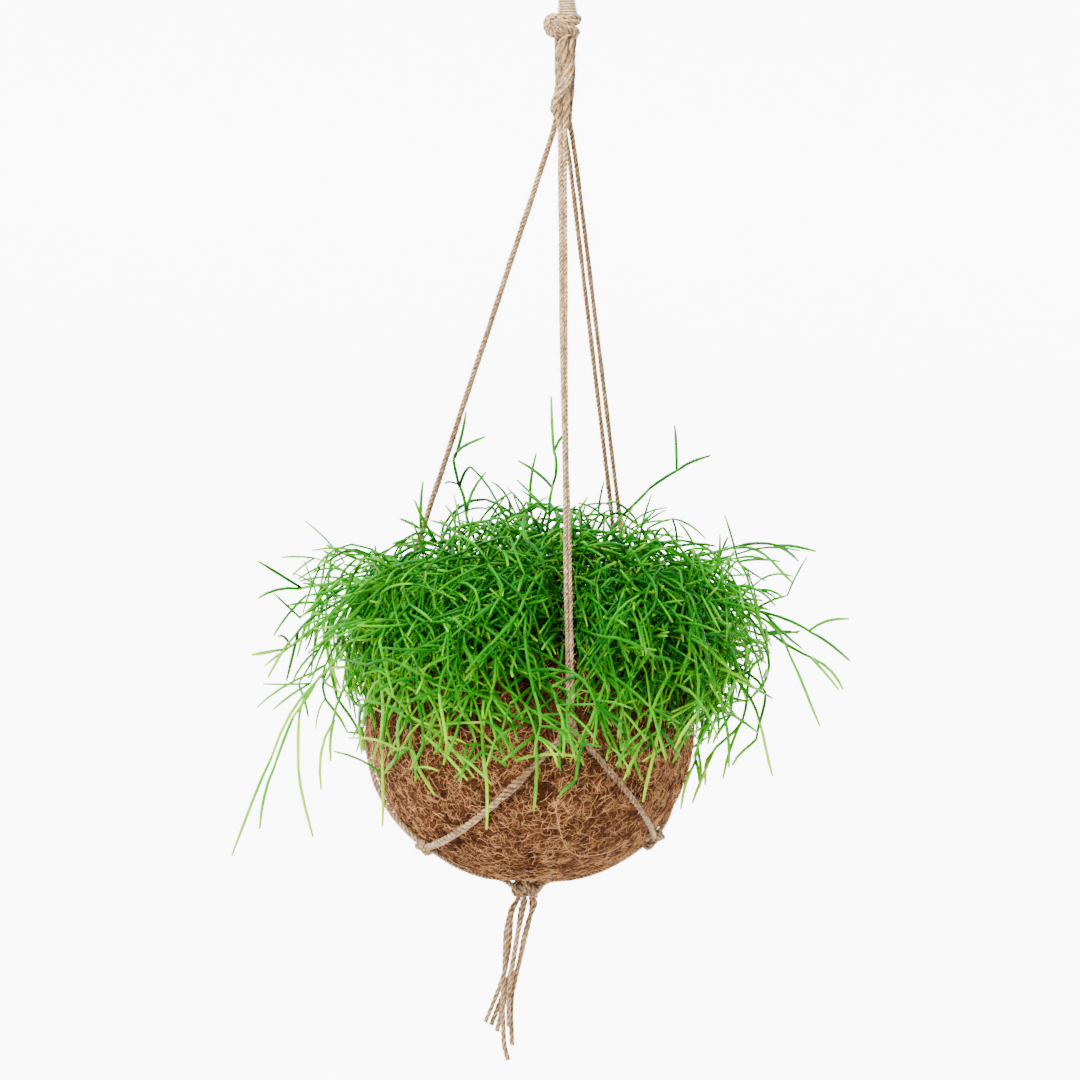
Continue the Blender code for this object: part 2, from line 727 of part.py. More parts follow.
def in_dome(point):
    spot = point - BALL_CENTRE
    level = spot.z - DOME_MIDDLE
    half_height = DOME_UP if level > 0 else DOME_DOWN
    share = math.hypot(spot.x - DOME_SHIFT, spot.y) / DOME_HALF_WIDTH
    return share ** 2 + (level / half_height) ** 2 < 1


def within_reach(place, end, tip):
    """Whether a single fork of the leader may end there: near its tip, and no further out or down."""
    if place["generation"] > 0 or place["forks"] > 0:
        return False
    if (end - tip).length > TWIG_LONGEST or end.z < tip.z - TIP_DROP:
        return False
    return math.hypot(end.x, end.y) < math.hypot(tip.x, tip.y)


def twig_direction(rng, tangent, place, generation):
    """A direction that forks from the stem, and turns outwards and down with each generation."""
    across = tangent.orthogonal().normalized()
    across.rotate(Matrix.Rotation(rng.uniform(0, 2 * math.pi), 3, tangent))
    fork = math.radians(rng.uniform(FORK_LEAST, FORK_MOST))
    direction = tangent * math.cos(fork) + across * math.sin(fork)
    outward = Vector((place.x, place.y, 0))
    reach = min(1, outward.length / BALL_RADIUS)
    direction += outward.normalized() * LEAN_OUT * reach
    direction -= UP * (DROOP + DROOP_A_FORK * generation + DROOP_FAR_OUT * reach ** 2)
    return direction.normalized()


def grow_twig(room, rng, owner, place, leader_tip):
    """The best of several tries at a twig: clear of the rest, and out where there is most room."""
    best = None
    best_space = 0
    start = place["point"]
    for _ in range(TWIG_TRIES):
        length = rng.uniform(TWIG_SHORTEST, TWIG_LONGEST)
        direction = twig_direction(rng, place["tangent"], start - BALL_CENTRE, place["generation"])
        end = start + direction * length
        if not in_dome(end) and not within_reach(place, end, leader_tip):
            continue
        if not room.is_free([start, end], owner):
            continue
        space = room.distances(start + direction * TWIG_FREE_FROM, end).min()
        if space < 2 * STEM_RADIUS + GAP:
            continue
        space += room.distances(start.lerp(end, 0.6), end).min()
        if space > best_space:
            best = end
            best_space = space
    return best, best_space


def grow_plant(cords, knots):
    """Grow every spray by seeded draws; return each one's stems as lists of points."""
    room = Room()
    for route in cords:
        room.add(route, CORD / 2, -1)
    for centre in knots:
        room.add([centre, centre + UP * GAP], KNOT_REACH, -1)
    rng = random.Random(SEED)
    stems = {}
    leaders = {}
    tips = {}
    for owner, spray in enumerate(SPRAYS):
        leader = grow_leader(room, rng, owner, spray)
        room.add(leader, STEM_RADIUS, owner)
        leaders[owner] = leader
        tips[owner] = leader[-1]
        stems[owner] = [list(leader)]
    names = [spray[0] for spray in SPRAYS]
    for name, joint, tip in SIDE_STEMS:
        owner = names.index(name)
        start = leaders[owner][joint]
        end = BALL_CENTRE + Vector(tip) / 1000
        along = start - leaders[owner][joint - 1]
        side_stem = grow_side_stem(room, rng, owner, start, end, along)
        if side_stem:
            room.add(side_stem, STEM_RADIUS, owner)
            stems[owner].append(side_stem)
    frontiers = {owner: leader_frontier(leader) for owner, leader in leaders.items()}
    for _ in range(TWIGS_A_SPRAY):
        for owner in range(len(SPRAYS)):
            grow_one(room, rng, owner, stems[owner], frontiers[owner], tips[owner])
    return stems


def leader_frontier(leader):
    """Places on the leader where twigs can fork, each a dictionary that says what can still grow there."""
    places = []
    for joint in range(2, len(leader)):
        tangent = (leader[joint] - leader[joint - 1]).normalized()
        at_end = joint == len(leader) - 1
        places.append(growing_place(leader[joint], tangent, 0, 0, at_end))
    return places


def growing_place(point, tangent, generation, stem, at_end):
    return {"point": point, "tangent": tangent, "generation": generation,
            "stem": stem, "at_end": at_end, "forks": 0, "tries": PLACE_TRIES}


def grow_one(room, rng, owner, stems, frontier, leader_tip):
    """Grow one more twig: it carries on the stem whose end it starts from, or forks off beside it."""
    best = None
    for _ in range(4 * PLACES_COMPARED):
        open_places = [place for place in frontier if place["tries"] > 0]
        if not open_places:
            return
        place = rng.choice(open_places)
        end, space = grow_twig(room, rng, owner, place, leader_tip)
        if end is None:
            place["tries"] -= 1
            continue
        if best is None or space > best[2]:
            best = (place, end, space)
            compared = 1
        else:
            compared += 1
        if compared == PLACES_COMPARED:
            break
    if best is None:
        return
    place, end, _ = best
    start = place["point"]
    room.add([start, end], STEM_RADIUS, owner)
    if place["at_end"]:
        stem = place["stem"]
        stems[stem].append(end)
        place["at_end"] = False
    else:
        stem = len(stems)
        stems.append([start - place["tangent"] * FORK_SETBACKS[place["forks"]], end])
        place["forks"] += 1
        if place["forks"] == len(FORK_SETBACKS):
            place["tries"] = 0
    tangent = (end - start).normalized()
    frontier.append(growing_place(end, tangent, place["generation"] + 1, stem, True))


def grow_side_stem(room, rng, owner, start, end, along):
    """A long side stem that leaves its leader along its run and bends to its own tip."""
    tangent = along.normalized()
    for attempt in range(SIDE_STEM_TRIES):
        reach = (end - start).length * SIDE_STEM_HANDLE
        handle = start + tangent * reach + shaken(rng, attempt * HANDLE_SHAKE)
        points = []
        for step in range(SIDE_STEM_SPANS + 1):
            t = step / SIDE_STEM_SPANS
            points.append(start * (1 - t) ** 2 + handle * 2 * t * (1 - t) + end * t ** 2)
        away = [points[0].lerp(points[1], 0.2), *points[1:]]
        if room.is_free(away, owner):
            return [start - tangent * FORK_SETBACKS[0], *points[1:]]
    return None


def make_plant(stems):
    """Each spray as one body, its stems rolled by chance so that no two lie with their sides alike."""
    for owner, (name, *_) in enumerate(SPRAYS):
        rng = random.Random(ROLL_SEED + owner)
        pieces = []
        for index, points in enumerate(stems[owner]):
            roll = rng.uniform(0, 2 * math.pi)
            piece = f"{name}_{index}"
            pieces.append(tube_object(piece, points, STEM_RADIUS, STEM_SIDES, "stem_green", roll=roll))
        spray = pieces[0]
        spray.name = f"stems_{name}"
        combine(spray, pieces[1:], "UNION")


def main():
    clear_scene()
    cords, knots = make_hanger()
    make_ball([soil_point(x / 1000, y / 1000) for _, (x, y), *_ in SPRAYS])
    make_plant(grow_plant(cords, knots))


main()
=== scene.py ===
# Looks of the hanging kokedama: its jute hanger, coir ball, soil and mistletoe cactus, made round the packed
# solids. Metres, +Z up, in the frame of the solids: the origin is the top of the hanging loop's eye.

import math
import random

import bpy
import numpy as np
from mathutils import Matrix, Vector


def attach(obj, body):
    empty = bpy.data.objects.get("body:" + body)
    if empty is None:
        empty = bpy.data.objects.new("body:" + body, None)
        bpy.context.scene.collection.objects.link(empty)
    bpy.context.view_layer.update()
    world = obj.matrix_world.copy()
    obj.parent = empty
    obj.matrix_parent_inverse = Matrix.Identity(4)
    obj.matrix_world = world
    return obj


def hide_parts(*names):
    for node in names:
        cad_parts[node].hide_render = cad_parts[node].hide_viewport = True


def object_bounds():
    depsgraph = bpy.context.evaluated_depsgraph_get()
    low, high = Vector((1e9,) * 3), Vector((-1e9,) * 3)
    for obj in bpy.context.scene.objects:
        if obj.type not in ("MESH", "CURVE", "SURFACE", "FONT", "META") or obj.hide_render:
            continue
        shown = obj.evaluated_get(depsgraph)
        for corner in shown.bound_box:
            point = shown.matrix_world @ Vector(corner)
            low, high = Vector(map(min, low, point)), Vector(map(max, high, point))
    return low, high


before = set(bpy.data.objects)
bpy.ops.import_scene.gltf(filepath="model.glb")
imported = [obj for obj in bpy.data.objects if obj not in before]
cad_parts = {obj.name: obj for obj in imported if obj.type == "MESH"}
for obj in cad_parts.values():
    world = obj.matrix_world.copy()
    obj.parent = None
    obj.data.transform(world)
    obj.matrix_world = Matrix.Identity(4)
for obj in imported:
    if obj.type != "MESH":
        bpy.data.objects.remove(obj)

cad_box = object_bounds()
bpy.ops.object.select_all(action="DESELECT")


# The camera stands in front of the object, a little above the ball, and is rolled a little, as the
# photograph was taken. Its view is about 0.6 m high where the object hangs.
UP = Vector((0, 0, 1))
VIEW_CENTRE = Vector((0.0002, 0, -0.3483))
VIEW_HEIGHT = 0.598
VIEW_DISTANCE = 3.2
VIEW_ELEVATION = math.radians(3)
VIEW_ROLL = math.radians(2.454)

bpy.ops.object.camera_add()
camera = bpy.context.object
camera.data.lens = camera.data.sensor_width * VIEW_DISTANCE / VIEW_HEIGHT
camera_back = Vector((0, -math.cos(VIEW_ELEVATION), math.sin(VIEW_ELEVATION)))
camera_turn = Matrix.Rotation(math.pi / 2 - VIEW_ELEVATION, 4, "X") @ Matrix.Rotation(VIEW_ROLL, 4, "Z")
camera.matrix_world = Matrix.Translation(VIEW_CENTRE + camera_back * VIEW_DISTANCE) @ camera_turn
bpy.context.scene.camera = camera


# The studio: a round pale floor whose edge sweeps up into a wall that glows brightly behind the object, and
# large soft lights. The object hangs well clear of the floor.
FLOOR_Z = -1.3
FLOOR_RADIUS = 4.2
FLOOR_SIDES = 96
SWEEP_RADIUS = 1.2
SWEEP_STEPS = 10
WALL_HEIGHT = 1.6
STUDIO_WHITE = (0.93, 0.93, 0.93, 1)
STUDIO_GLOW = 0.15
BACKDROP_GLOW = 7.0
BACKDROP_FROM = 0.8
BACKDROP_FULL = 3.2
WORLD_STRENGTH = 0.20
# Each light: place, size across, power
LIGHTS = {
    "key": ((-0.8, -1.5, 0.8), 0.6, 100),
    "fill": ((1.5, -1.3, -0.2), 1.2, 6),
    "top": ((-0.1, -0.1, 0.9), 0.6, 48),
}


def fresh_material(name, **inputs):
    """A new material, its node tree and its shader, with the values of some of the shader's sockets."""
    material = bpy.data.materials.new(name)
    material.use_nodes = True
    shader = material.node_tree.nodes["Principled BSDF"]
    for socket, value in inputs.items():
        shader.inputs[socket.replace("_", " ")].default_value = value
    return material, material.node_tree, shader


def new_node(tree, kind, **inputs):
    """A shader node of that kind with the values of some of its input sockets."""
    made = tree.nodes.new("ShaderNode" + kind)
    for name, value in inputs.items():
        made.inputs[name.replace("_", " ")].default_value = value
    return made


def ranged(tree, source, limits, easing="LINEAR"):
    """The source value brought from one range into another; the limits are the ends of both."""
    made = new_node(tree, "MapRange")
    made.interpolation_type = easing
    for socket, value in zip(made.inputs[1:5], limits):
        socket.default_value = value
    tree.links.new(source, made.inputs["Value"])
    return made.outputs["Result"]


bpy.ops.mesh.primitive_circle_add(
    vertices=FLOOR_SIDES, radius=FLOOR_RADIUS, fill_type="NGON", location=(0, 0, FLOOR_Z))
studio = bpy.context.object
studio.name = "studio_floor"
bpy.ops.object.mode_set(mode="EDIT")
bpy.ops.mesh.select_mode(type="EDGE")
radius, height = FLOOR_RADIUS, FLOOR_Z
for step in range(SWEEP_STEPS + 1):
    angle = math.pi / 2 * min(step + 1, SWEEP_STEPS) / SWEEP_STEPS
    next_radius = FLOOR_RADIUS + SWEEP_RADIUS * math.sin(angle)
    next_height = FLOOR_Z + SWEEP_RADIUS * (1 - math.cos(angle))
    if step == SWEEP_STEPS:
        next_height += WALL_HEIGHT
    bpy.ops.mesh.select_all(action="DESELECT")
    bpy.ops.mesh.select_non_manifold(
        extend=False, use_wire=False, use_multi_face=False, use_non_contiguous=False)
    bpy.ops.mesh.extrude_edges_move()
    growth = next_radius / radius
    bpy.ops.transform.resize(value=(growth, growth, 1))
    bpy.ops.transform.translate(value=(0, 0, next_height - height))
    radius, height = next_radius, next_height
bpy.ops.object.mode_set(mode="OBJECT")
studio.data.shade_smooth()
studio_white, studio_tree, studio_shader = fresh_material(
    "studio_white", Base_Color=STUDIO_WHITE, Roughness=1.0, Emission_Color=STUDIO_WHITE)
studio_axes = new_node(studio_tree, "SeparateXYZ")
studio_tree.links.new(new_node(studio_tree, "TexCoord").outputs["Object"], studio_axes.inputs[0])
backdrop_limits = (BACKDROP_FROM, BACKDROP_FULL, STUDIO_GLOW, BACKDROP_GLOW)
studio_glow = ranged(studio_tree, studio_axes.outputs["Y"], backdrop_limits, "SMOOTHSTEP")
studio_tree.links.new(studio_glow, studio_shader.inputs["Emission Strength"])
studio.data.materials.append(studio_white)

world = bpy.data.worlds.new("studio_air")
world.use_nodes = True
world.node_tree.nodes["Background"].inputs["Color"].default_value = (1, 1, 1, 1)
world.node_tree.nodes["Background"].inputs["Strength"].default_value = WORLD_STRENGTH
bpy.context.scene.world = world
for light_name, (place, size, power) in LIGHTS.items():
    aim = (VIEW_CENTRE - Vector(place)).to_track_quat("-Z", "Y").to_euler()
    bpy.ops.object.light_add(type="AREA", location=place, rotation=aim)
    light = bpy.context.object
    light.name = light_name
    light.data.shape = "DISK"
    light.data.size = size
    light.data.energy = power


# The six loose tails below the bottom knot: what is left of each strand, three-ply jute twine 2.5 mm thick,
# cut at different lengths, with a frayed tuft at each end. They hang limp.
CORD = 0.0026
TAIL_CORD = 0.0025
# The length in which the three plies wind round one another once, in taut cord and in the slack tails
PLY_PITCH = 0.0066
TAIL_PITCH = 0.012
RING_STEP = 0.0008
CORD_SIDES = 9
# How far each corner of the cord's section stands out: creases between the three plies, and their crowns
PLY_SHAPE = np.tile((0.76, 1.13, 1.13), 3)
BOTTOM_KNOT = Vector((0.0005, 0, -0.5440))
BOTTOM_KNOT_CORE = (0.0066, 0.0066, 0.0034)
TAIL_RING = 0.0040
TAIL_STEP = 0.0074
TAIL_GAP = 0.0003
# Each tail: where it leaves the bottom knot in degrees round it from the right, and its route points below
# the knot in millimetres, with z measured from the origin
TAIL_ROUTES = {
    "tail_long": (216, (
        (-6.6, -4.4, -553), (-9.3, -4.2, -566), (-9.3, -3.7, -585), (-9.6, -3.2, -600),
        (-8.9, -3.2, -615), (-7.6, -3.2, -630), (-5.2, -3.2, -638))),
    "tail_right": (338, (
        (6.2, -1.6, -550), (3.0, -1.7, -559), (0.4, -1.6, -571), (-1.2, -1.2, -583),
        (-4.6, -0.6, -602), (-4.6, -0.6, -613), (-3.3, -1.2, -630))),
    "tail_front": (277, (
        (-0.6, -5.4, -555), (-3.2, -5.2, -570), (-5.0, -5.9, -585), (-6.2, -6.4, -600),
        (-5.8, -6.2, -619))),
    "tail_left": (155, (
        (-6.4, 2.6, -556), (-7.2, 2.9, -572), (-8.9, 2.6, -588), (-12.9, 2.1, -602),
        (-18.8, 1.6, -618))),
    "tail_back": (96, (
        (-1.8, 5.8, -556), (-3.2, 6.4, -572), (-5.5, 6.4, -588), (-10.0, 5.8, -604),
        (-15.5, 5.2, -620))),
    "tail_back_right": (38, (
        (4.0, 4.4, -556), (1.0, 3.0, -572), (-2.2, 3.0, -588), (-8.2, 2.3, -604),
        (-12.1, 1.6, -623))),
}
JUTE_PALE = (0.66, 0.450, 0.215)
JUTE_MIDDLE = (0.38, 0.235, 0.110)
JUTE_DARK = (0.12, 0.062, 0.026)
# Painted light: the tint that makes the lit copy of the jute's colour
LIT_COPY_TINT = (1.45, 1.52, 1.7, 1)
# Painted shade: the tint that darkens the creases between the plies
CREASE_SHADE = (0.30, 0.21, 0.13, 1)
# Loose fibres: on a metre of cord, on the tails as a share of that, and in the tuft on their last part
HAIR_RADIUS = 0.00011
HAIRS_A_METRE = 1500
TAIL_HAIR_SHARE = 0.5
TAIL_HAIR_REACH = 0.0012
TUFT_HAIRS = 26
TUFT_REACH = 0.0014
TUFT_PART = (0.96, 1.0)
TUFT_LEAN = 1.2
# Twine is uneven: the lengths over which its thickness and its shade come and go, and by how much they do,
# in waves and from ring to ring
SWELL_WAVES = (0.0043, 0.0117)
SWELL = (0.05, 0.018)
SHADE_WAVES = (0.0031, 0.0083)
SHADE_DRIFT = (0.10, 0.06)


def on_curve(before, start, end, after, t):
    """The point at a share t of the way from start to end, on a smooth curve through all four."""
    return 0.5 * (2 * start + (end - before) * t
                  + (2 * before - 5 * start + 4 * end - after) * t * t
                  + (3 * start - before - 3 * end + after) * t ** 3)


def with_neighbours(points):
    """Each span of a line: the point before it, its start, its end and the point after it."""
    guide = [points[0] * 2 - points[1], *points, points[-1] * 2 - points[-2]]
    return list(zip(guide, guide[1:], guide[2:], guide[3:]))


def smooth_route(points, step):
    """Points at about one step on a smooth curve through the route points."""
    fine = []
    for before, start, end, after in with_neighbours(points):
        pieces = max(1, round((end - start).length / step))
        for piece in range(pieces):
            fine.append(on_curve(before, start, end, after, piece / pieces))
    return [*fine, points[-1]]


def route_length(route):
    return sum((after - before).length for before, after in zip(route, route[1:]))


def measured(line):
    """The length of each span of a line, and how far along it each of its points lies."""
    steps = np.linalg.norm(np.diff(line, axis=0), axis=1)
    return steps, np.concatenate([[0], np.cumsum(steps)])


def read(pairs, at):
    """What (place, value) pairs say at a place or at many; a single value holds everywhere."""
    return pairs if isinstance(pairs, float) else np.interp(at, *zip(*pairs))


def unit(vectors):
    return vectors / np.maximum(np.linalg.norm(vectors, axis=-1, keepdims=True), 1e-12)


def line_frames(lines):
    """Unit vectors along each line and across it, at each of its points, without needless twist."""
    along = unit(np.gradient(lines, axis=1))
    steep = np.abs(along[:, :1, 2]) > 0.9
    helper = np.where(steep, np.array((1.0, 0, 0)), np.array((0, 0, 1.0)))
    across = np.empty_like(lines)
    side = np.cross(along[:, 0], helper)
    for ring in range(lines.shape[1]):
        side = unit(side - along[:, ring] * (side * along[:, ring]).sum(1, keepdims=True))
        across[:, ring] = side
    return along, across, np.cross(along, across)


def tubes(lines, radii, sides, shades, spin=0.0, shape=None, tips=None):
    """Closed tubes along lines of equally many points; a shade for each tube or ring, a tip for each ring."""
    lines = np.asarray(lines, float)
    count, rings, _ = lines.shape
    radii = np.broadcast_to(np.asarray(radii, float), (count, rings))
    tips = np.broadcast_to(0.0 if tips is None else tips, (count, rings))
    shades = np.asarray(shades, float)
    if shades.ndim == 1:
        shades = shades[:, None]
    shades = np.broadcast_to(shades, (count, rings))
    shape = np.ones(sides) if shape is None else shape
    _, across, up = line_frames(lines)
    angles = 2 * np.pi * np.arange(sides) / sides + np.broadcast_to(spin, (count, rings))[..., None]
    reach = (radii[..., None] * shape)[..., None]
    points = lines[:, :, None] + reach * (
        np.cos(angles)[..., None] * across[:, :, None] + np.sin(angles)[..., None] * up[:, :, None])

    corners = np.arange(count * rings * sides).reshape(count, rings, sides)
    following = np.roll(corners, -1, axis=2)
    quads = np.stack([corners[:, :-1], following[:, :-1], following[:, 1:], corners[:, 1:]], -1)
    caps = np.concatenate([corners[:, 0, ::-1], corners[:, -1]])

    steps = np.linalg.norm(np.diff(lines, axis=1), axis=2)
    lengths = np.concatenate([np.zeros((count, 1)), np.cumsum(steps, 1)], 1) * 1000
    u = np.broadcast_to(np.arange(sides + 1) / sides, (count, rings, sides + 1))
    v = np.broadcast_to(lengths[..., None] + 37.0 * np.arange(count)[:, None, None], u.shape)
    grid = np.stack([u, v], -1)
    quad_uv = np.stack([grid[:, :-1, :-1], grid[:, :-1, 1:], grid[:, 1:, 1:], grid[:, 1:, :-1]], -2)
    cap_uv = np.concatenate([grid[:, 0, :-1], grid[:, -1, :-1]])
    return {
        "points": points.reshape(-1, 3),
        "faces": [quads.reshape(-1, 4), caps],
        "uv": np.concatenate([quad_uv.reshape(-1, 2), cap_uv.reshape(-1, 2)]),
        "shade": np.repeat(shades.reshape(-1), sides),
        "tip": np.repeat(tips.reshape(-1), sides),
    }


def piece_of(name, groups, material):
    """One smooth mesh object of groups of tubes, with its place in its mesh."""
    faces = []
    base = 0
    for group in groups:
        for rows in group["faces"]:
            faces += (rows + base).tolist()
        base += len(group["points"])
    mesh = bpy.data.meshes.new(name)
    mesh.from_pydata(np.concatenate([group["points"] for group in groups]).tolist(), [], faces)
    layer = mesh.uv_layers.new(name="length")
    layer.data.foreach_set("uv", np.concatenate([group["uv"] for group in groups]).ravel())
    for key in ("shade", "tip"):
        values = mesh.attributes.new(key, "FLOAT", "POINT")
        values.data.foreach_set("value", np.concatenate([group[key] for group in groups]))
    mesh.shade_smooth()
    mesh.materials.append(material)
    piece = bpy.data.objects.new(name, mesh)
    bpy.context.scene.collection.objects.link(piece)
    return piece


def settle(piece, slot, *nodes):
    """The piece hangs with the rest, and stands for these solids; the slot is not used."""
    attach(piece, "root")
    if nodes:
        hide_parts(*nodes)


def twine(route, thickness, draws, pitch=PLY_PITCH, fine=RING_STEP, shade=0.5):
    """Three-ply twine along a route; thickness, pitch and shade are one value or (length, value) pairs."""
    line = np.array(smooth_route([Vector(point) for point in route], fine))[None]
    rings = line.shape[1]
    steps, lengths = measured(line[0])
    waves = draws.uniform(0, 2 * np.pi, 4)
    swell = 1 + SWELL[0] * np.sin(lengths / SWELL_WAVES[0] + waves[0])
    swell = swell + SWELL[0] * np.sin(lengths / SWELL_WAVES[1] + waves[1]) + draws.normal(0, SWELL[1], rings)
    patches = np.sin(lengths / SHADE_WAVES[0] + waves[3]) + np.sin(lengths / SHADE_WAVES[1] + waves[1])
    shades = read(shade, lengths) + SHADE_DRIFT[0] * patches + draws.normal(0, SHADE_DRIFT[1], rings)
    radii = read(thickness, lengths) / 2 * swell
    spin = 2 * np.pi * np.concatenate([[0], np.cumsum(steps / read(pitch, lengths[1:]))]) + waves[2]
    return tubes(line, radii[None], CORD_SIDES, shades[None], spin[None], PLY_SHAPE)


def hairs(route, radius, count, reach, draws, part=(0.0, 1.0), lean=0.8):
    """Loose fibres that stand off a cord: (start on the cord, out, and bent along it)."""
    line = np.array(smooth_route([Vector(point) for point in route], RING_STEP))[None]
    along, across, up = line_frames(line)
    spots = (draws.uniform(*part, count) * (line.shape[1] - 1)).astype(int)
    angles = draws.uniform(0, 2 * np.pi, count)[:, None]
    out = np.cos(angles) * across[0, spots] + np.sin(angles) * up[0, spots]
    side = np.cross(along[0, spots], out)
    slope = draws.normal(0, lean, (count, 1))
    heading_out = unit(out + along[0, spots] * slope + side * draws.normal(0, 0.5, (count, 1)))
    bend = along[0, spots] * draws.normal(0, 0.6, (count, 1)) + side * draws.normal(0, 0.6, (count, 1))
    bend = bend - out * draws.uniform(0, 0.5, (count, 1))
    length = reach * draws.uniform(0.25, 1.0, (count, 1)) ** 1.6
    start = line[0, spots] + out * radius * 0.75
    lines = []
    for share in (0, 0.34, 0.67, 1.0):
        lines.append(start + (heading_out * share + bend * share ** 2 * 0.7) * length)
    radii = HAIR_RADIUS * np.array((1.1, 0.95, 0.75, 0.4)) * draws.uniform(0.7, 1.3, (count, 1))
    return tubes(np.stack(lines, 1), radii, 3, draws.uniform(0.1, 0.8, count))


def wire(tree, value, socket):
    """Give a socket its value, or link it to the socket that the value comes from."""
    if isinstance(value, bpy.types.NodeSocket):
        tree.links.new(value, socket)
    else:
        socket.default_value = value


def figured(tree, operation, *values):
    """What a maths node makes of these values or sockets."""
    made = new_node(tree, "Math")
    made.operation = operation
    for value, socket in zip(values, made.inputs):
        wire(tree, value, socket)
    return made.outputs["Value"]


def noise(tree, place, **inputs):
    """A noise pattern over these coordinates."""
    made = new_node(tree, "TexNoise", **inputs)
    tree.links.new(place, made.inputs["Vector"])
    return made.outputs["Fac"]


def attribute(tree, name):
    """What a piece's own attribute says at each of its points."""
    made = new_node(tree, "Attribute")
    made.attribute_name = name
    return made.outputs["Fac"]


def colour_steps(tree, source, steps):
    """A colour ramp from the source value: steps are (place, colour)."""
    ramp = tree.nodes.new("ShaderNodeValToRGB")
    while len(ramp.color_ramp.elements) < len(steps):
        ramp.color_ramp.elements.new(0.5)
    for element, (place, colour) in zip(ramp.color_ramp.elements, steps):
        element.position = place
        element.color = (*colour, 1)
    tree.links.new(source, ramp.inputs["Fac"])
    return ramp.outputs["Color"]


def blend(tree, mode, share, first, second):
    """Two colours mixed; the share and the colours are sockets or plain values."""
    mix = new_node(tree, "Mix")
    mix.data_type = "RGBA"
    mix.blend_type = mode
    for value, socket in zip((share, first, second), (mix.inputs[0], mix.inputs[6], mix.inputs[7])):
        wire(tree, value, socket)
    return mix.outputs[2]


def coloured(tree, shader, colour, height, strength, distance):
    """Give a shader its colour, and a relief of that strength and depth from this height."""
    tree.links.new(colour, shader.inputs["Base Color"])
    bump = new_node(tree, "Bump", Strength=strength, Distance=distance)
    tree.links.new(height, bump.inputs["Height"])
    tree.links.new(bump.outputs["Normal"], shader.inputs["Normal"])


def jute_material(name, pale, middle, dark):
    """Twisted bast fibre: fine streaks along the plies, darker flecks, matt with a little sheen."""
    material, tree, shader = fresh_material(
        name, Roughness=0.92, Specular_IOR_Level=0.15, Sheen_Weight=0.25)
    uv = new_node(tree, "UVMap")
    uv.uv_map = "length"
    stretch = new_node(tree, "Mapping", Scale=(22, 0.6, 1))
    tree.links.new(uv.outputs["UV"], stretch.inputs["Vector"])
    axes = new_node(tree, "SeparateXYZ")
    tree.links.new(uv.outputs["UV"], axes.inputs[0])
    plies = figured(tree, "MULTIPLY", axes.outputs["X"], 6 * math.pi)
    # Painted shade in the creases between the three plies
    crease_shade = ranged(tree, figured(tree, "COSINE", plies), (0.1, 0.95, 0.0, 0.90))
    streaks = noise(tree, stretch.outputs["Vector"], Scale=1.0, Detail=3, Roughness=0.65)
    place = new_node(tree, "TexCoord").outputs["Object"]
    flecks = noise(tree, place, Scale=430, Detail=3, Roughness=0.7)
    streak_colour = colour_steps(tree, streaks, [(0.36, dark), (0.50, middle), (0.62, pale)])
    fleck_colour = colour_steps(tree, flecks, [(0.41, dark), (0.50, middle), (0.56, pale)])
    colour = blend(tree, "MIX", 0.6, streak_colour, fleck_colour)
    # Painted light and shade: the shade attribute mixes a darker shaded copy of the colour with a lighter lit
    # copy
    shaded_copy = blend(tree, "MULTIPLY", 0.45, colour, (*middle, 1))
    lit_copy = blend(tree, "MULTIPLY", 1.0, colour, LIT_COPY_TINT)
    colour = blend(tree, "MIX", attribute(tree, "shade"), shaded_copy, lit_copy)
    colour = blend(tree, "MIX", crease_shade, colour, blend(tree, "MULTIPLY", 1.0, colour, CREASE_SHADE))
    coloured(tree, shader, colour, streaks, 0.5, 0.0003)
    return material


jute = jute_material("jute", JUTE_PALE, JUTE_MIDDLE, JUTE_DARK)
cord_draws = np.random.default_rng(12)
tail_inner = (TAIL_RING - TAIL_CORD / 2) / BOTTOM_KNOT_CORE[0]
tail_drop = BOTTOM_KNOT_CORE[2] * math.sqrt(1 - tail_inner ** 2) + TAIL_GAP
for tail_name, (degrees, below) in TAIL_ROUTES.items():
    turn = math.radians(degrees)
    tail_start = BOTTOM_KNOT + Vector((math.cos(turn), math.sin(turn), 0)) * TAIL_RING - UP * tail_drop
    route = smooth_route([tail_start, *(Vector(point) / 1000 for point in below)], TAIL_STEP)
    length = route_length(route)
    hair_count = round(length * HAIRS_A_METRE * TAIL_HAIR_SHARE)
    groups = [
        twine(route, TAIL_CORD, cord_draws, pitch=TAIL_PITCH),
        hairs(route, TAIL_CORD / 2, hair_count, TAIL_HAIR_REACH, cord_draws),
        hairs(route, TAIL_CORD / 2, TUFT_HAIRS, TUFT_REACH, cord_draws, part=TUFT_PART, lean=TUFT_LEAN),
    ]
    tail = piece_of(tail_name.replace("tail", "loose_tail"), groups, jute)
    settle(tail, "jute", tail_name)


# The hanging loop: three jute cords folded double, laid together round the eye, their six legs running
# down into the top knot.
LOOP_EYE_WIDTH = 0.020
LOOP_EYE_HEIGHT = 0.036
# The bundle's thickness, and its outline: a ring that is drawn in at its foot and widened as a whole, with
# the angle in radians that each side goes round from the top
LOOP_CORD = 0.0048
LOOP_FOOT_SHARE = 0.30
LOOP_SWELL = 1.32
LOOP_OPEN = 2.62
LOOP_STEPS = 16
# How far the three cords lie from the bundle's middle line, and the length in which they wind round it once
LOOP_LAY = 0.00145
LOOP_LAY_PITCH = 0.052
# Where the two legs run below the eye: distance from the plumb line, height
NECK_FOOT = ((0.0019, -0.0440), (0.0021, -0.0585))
# How far the loop's foot is drawn to the right of the plumb line: height, amount
LOOP_LEAN = ((-0.0585, 0.0030), (-0.0300, 0.0))
# Loose fibres on each cord, here and in the sections below: how many, and how far the longest stand off
LOOP_HAIRS = (70, 0.0030)


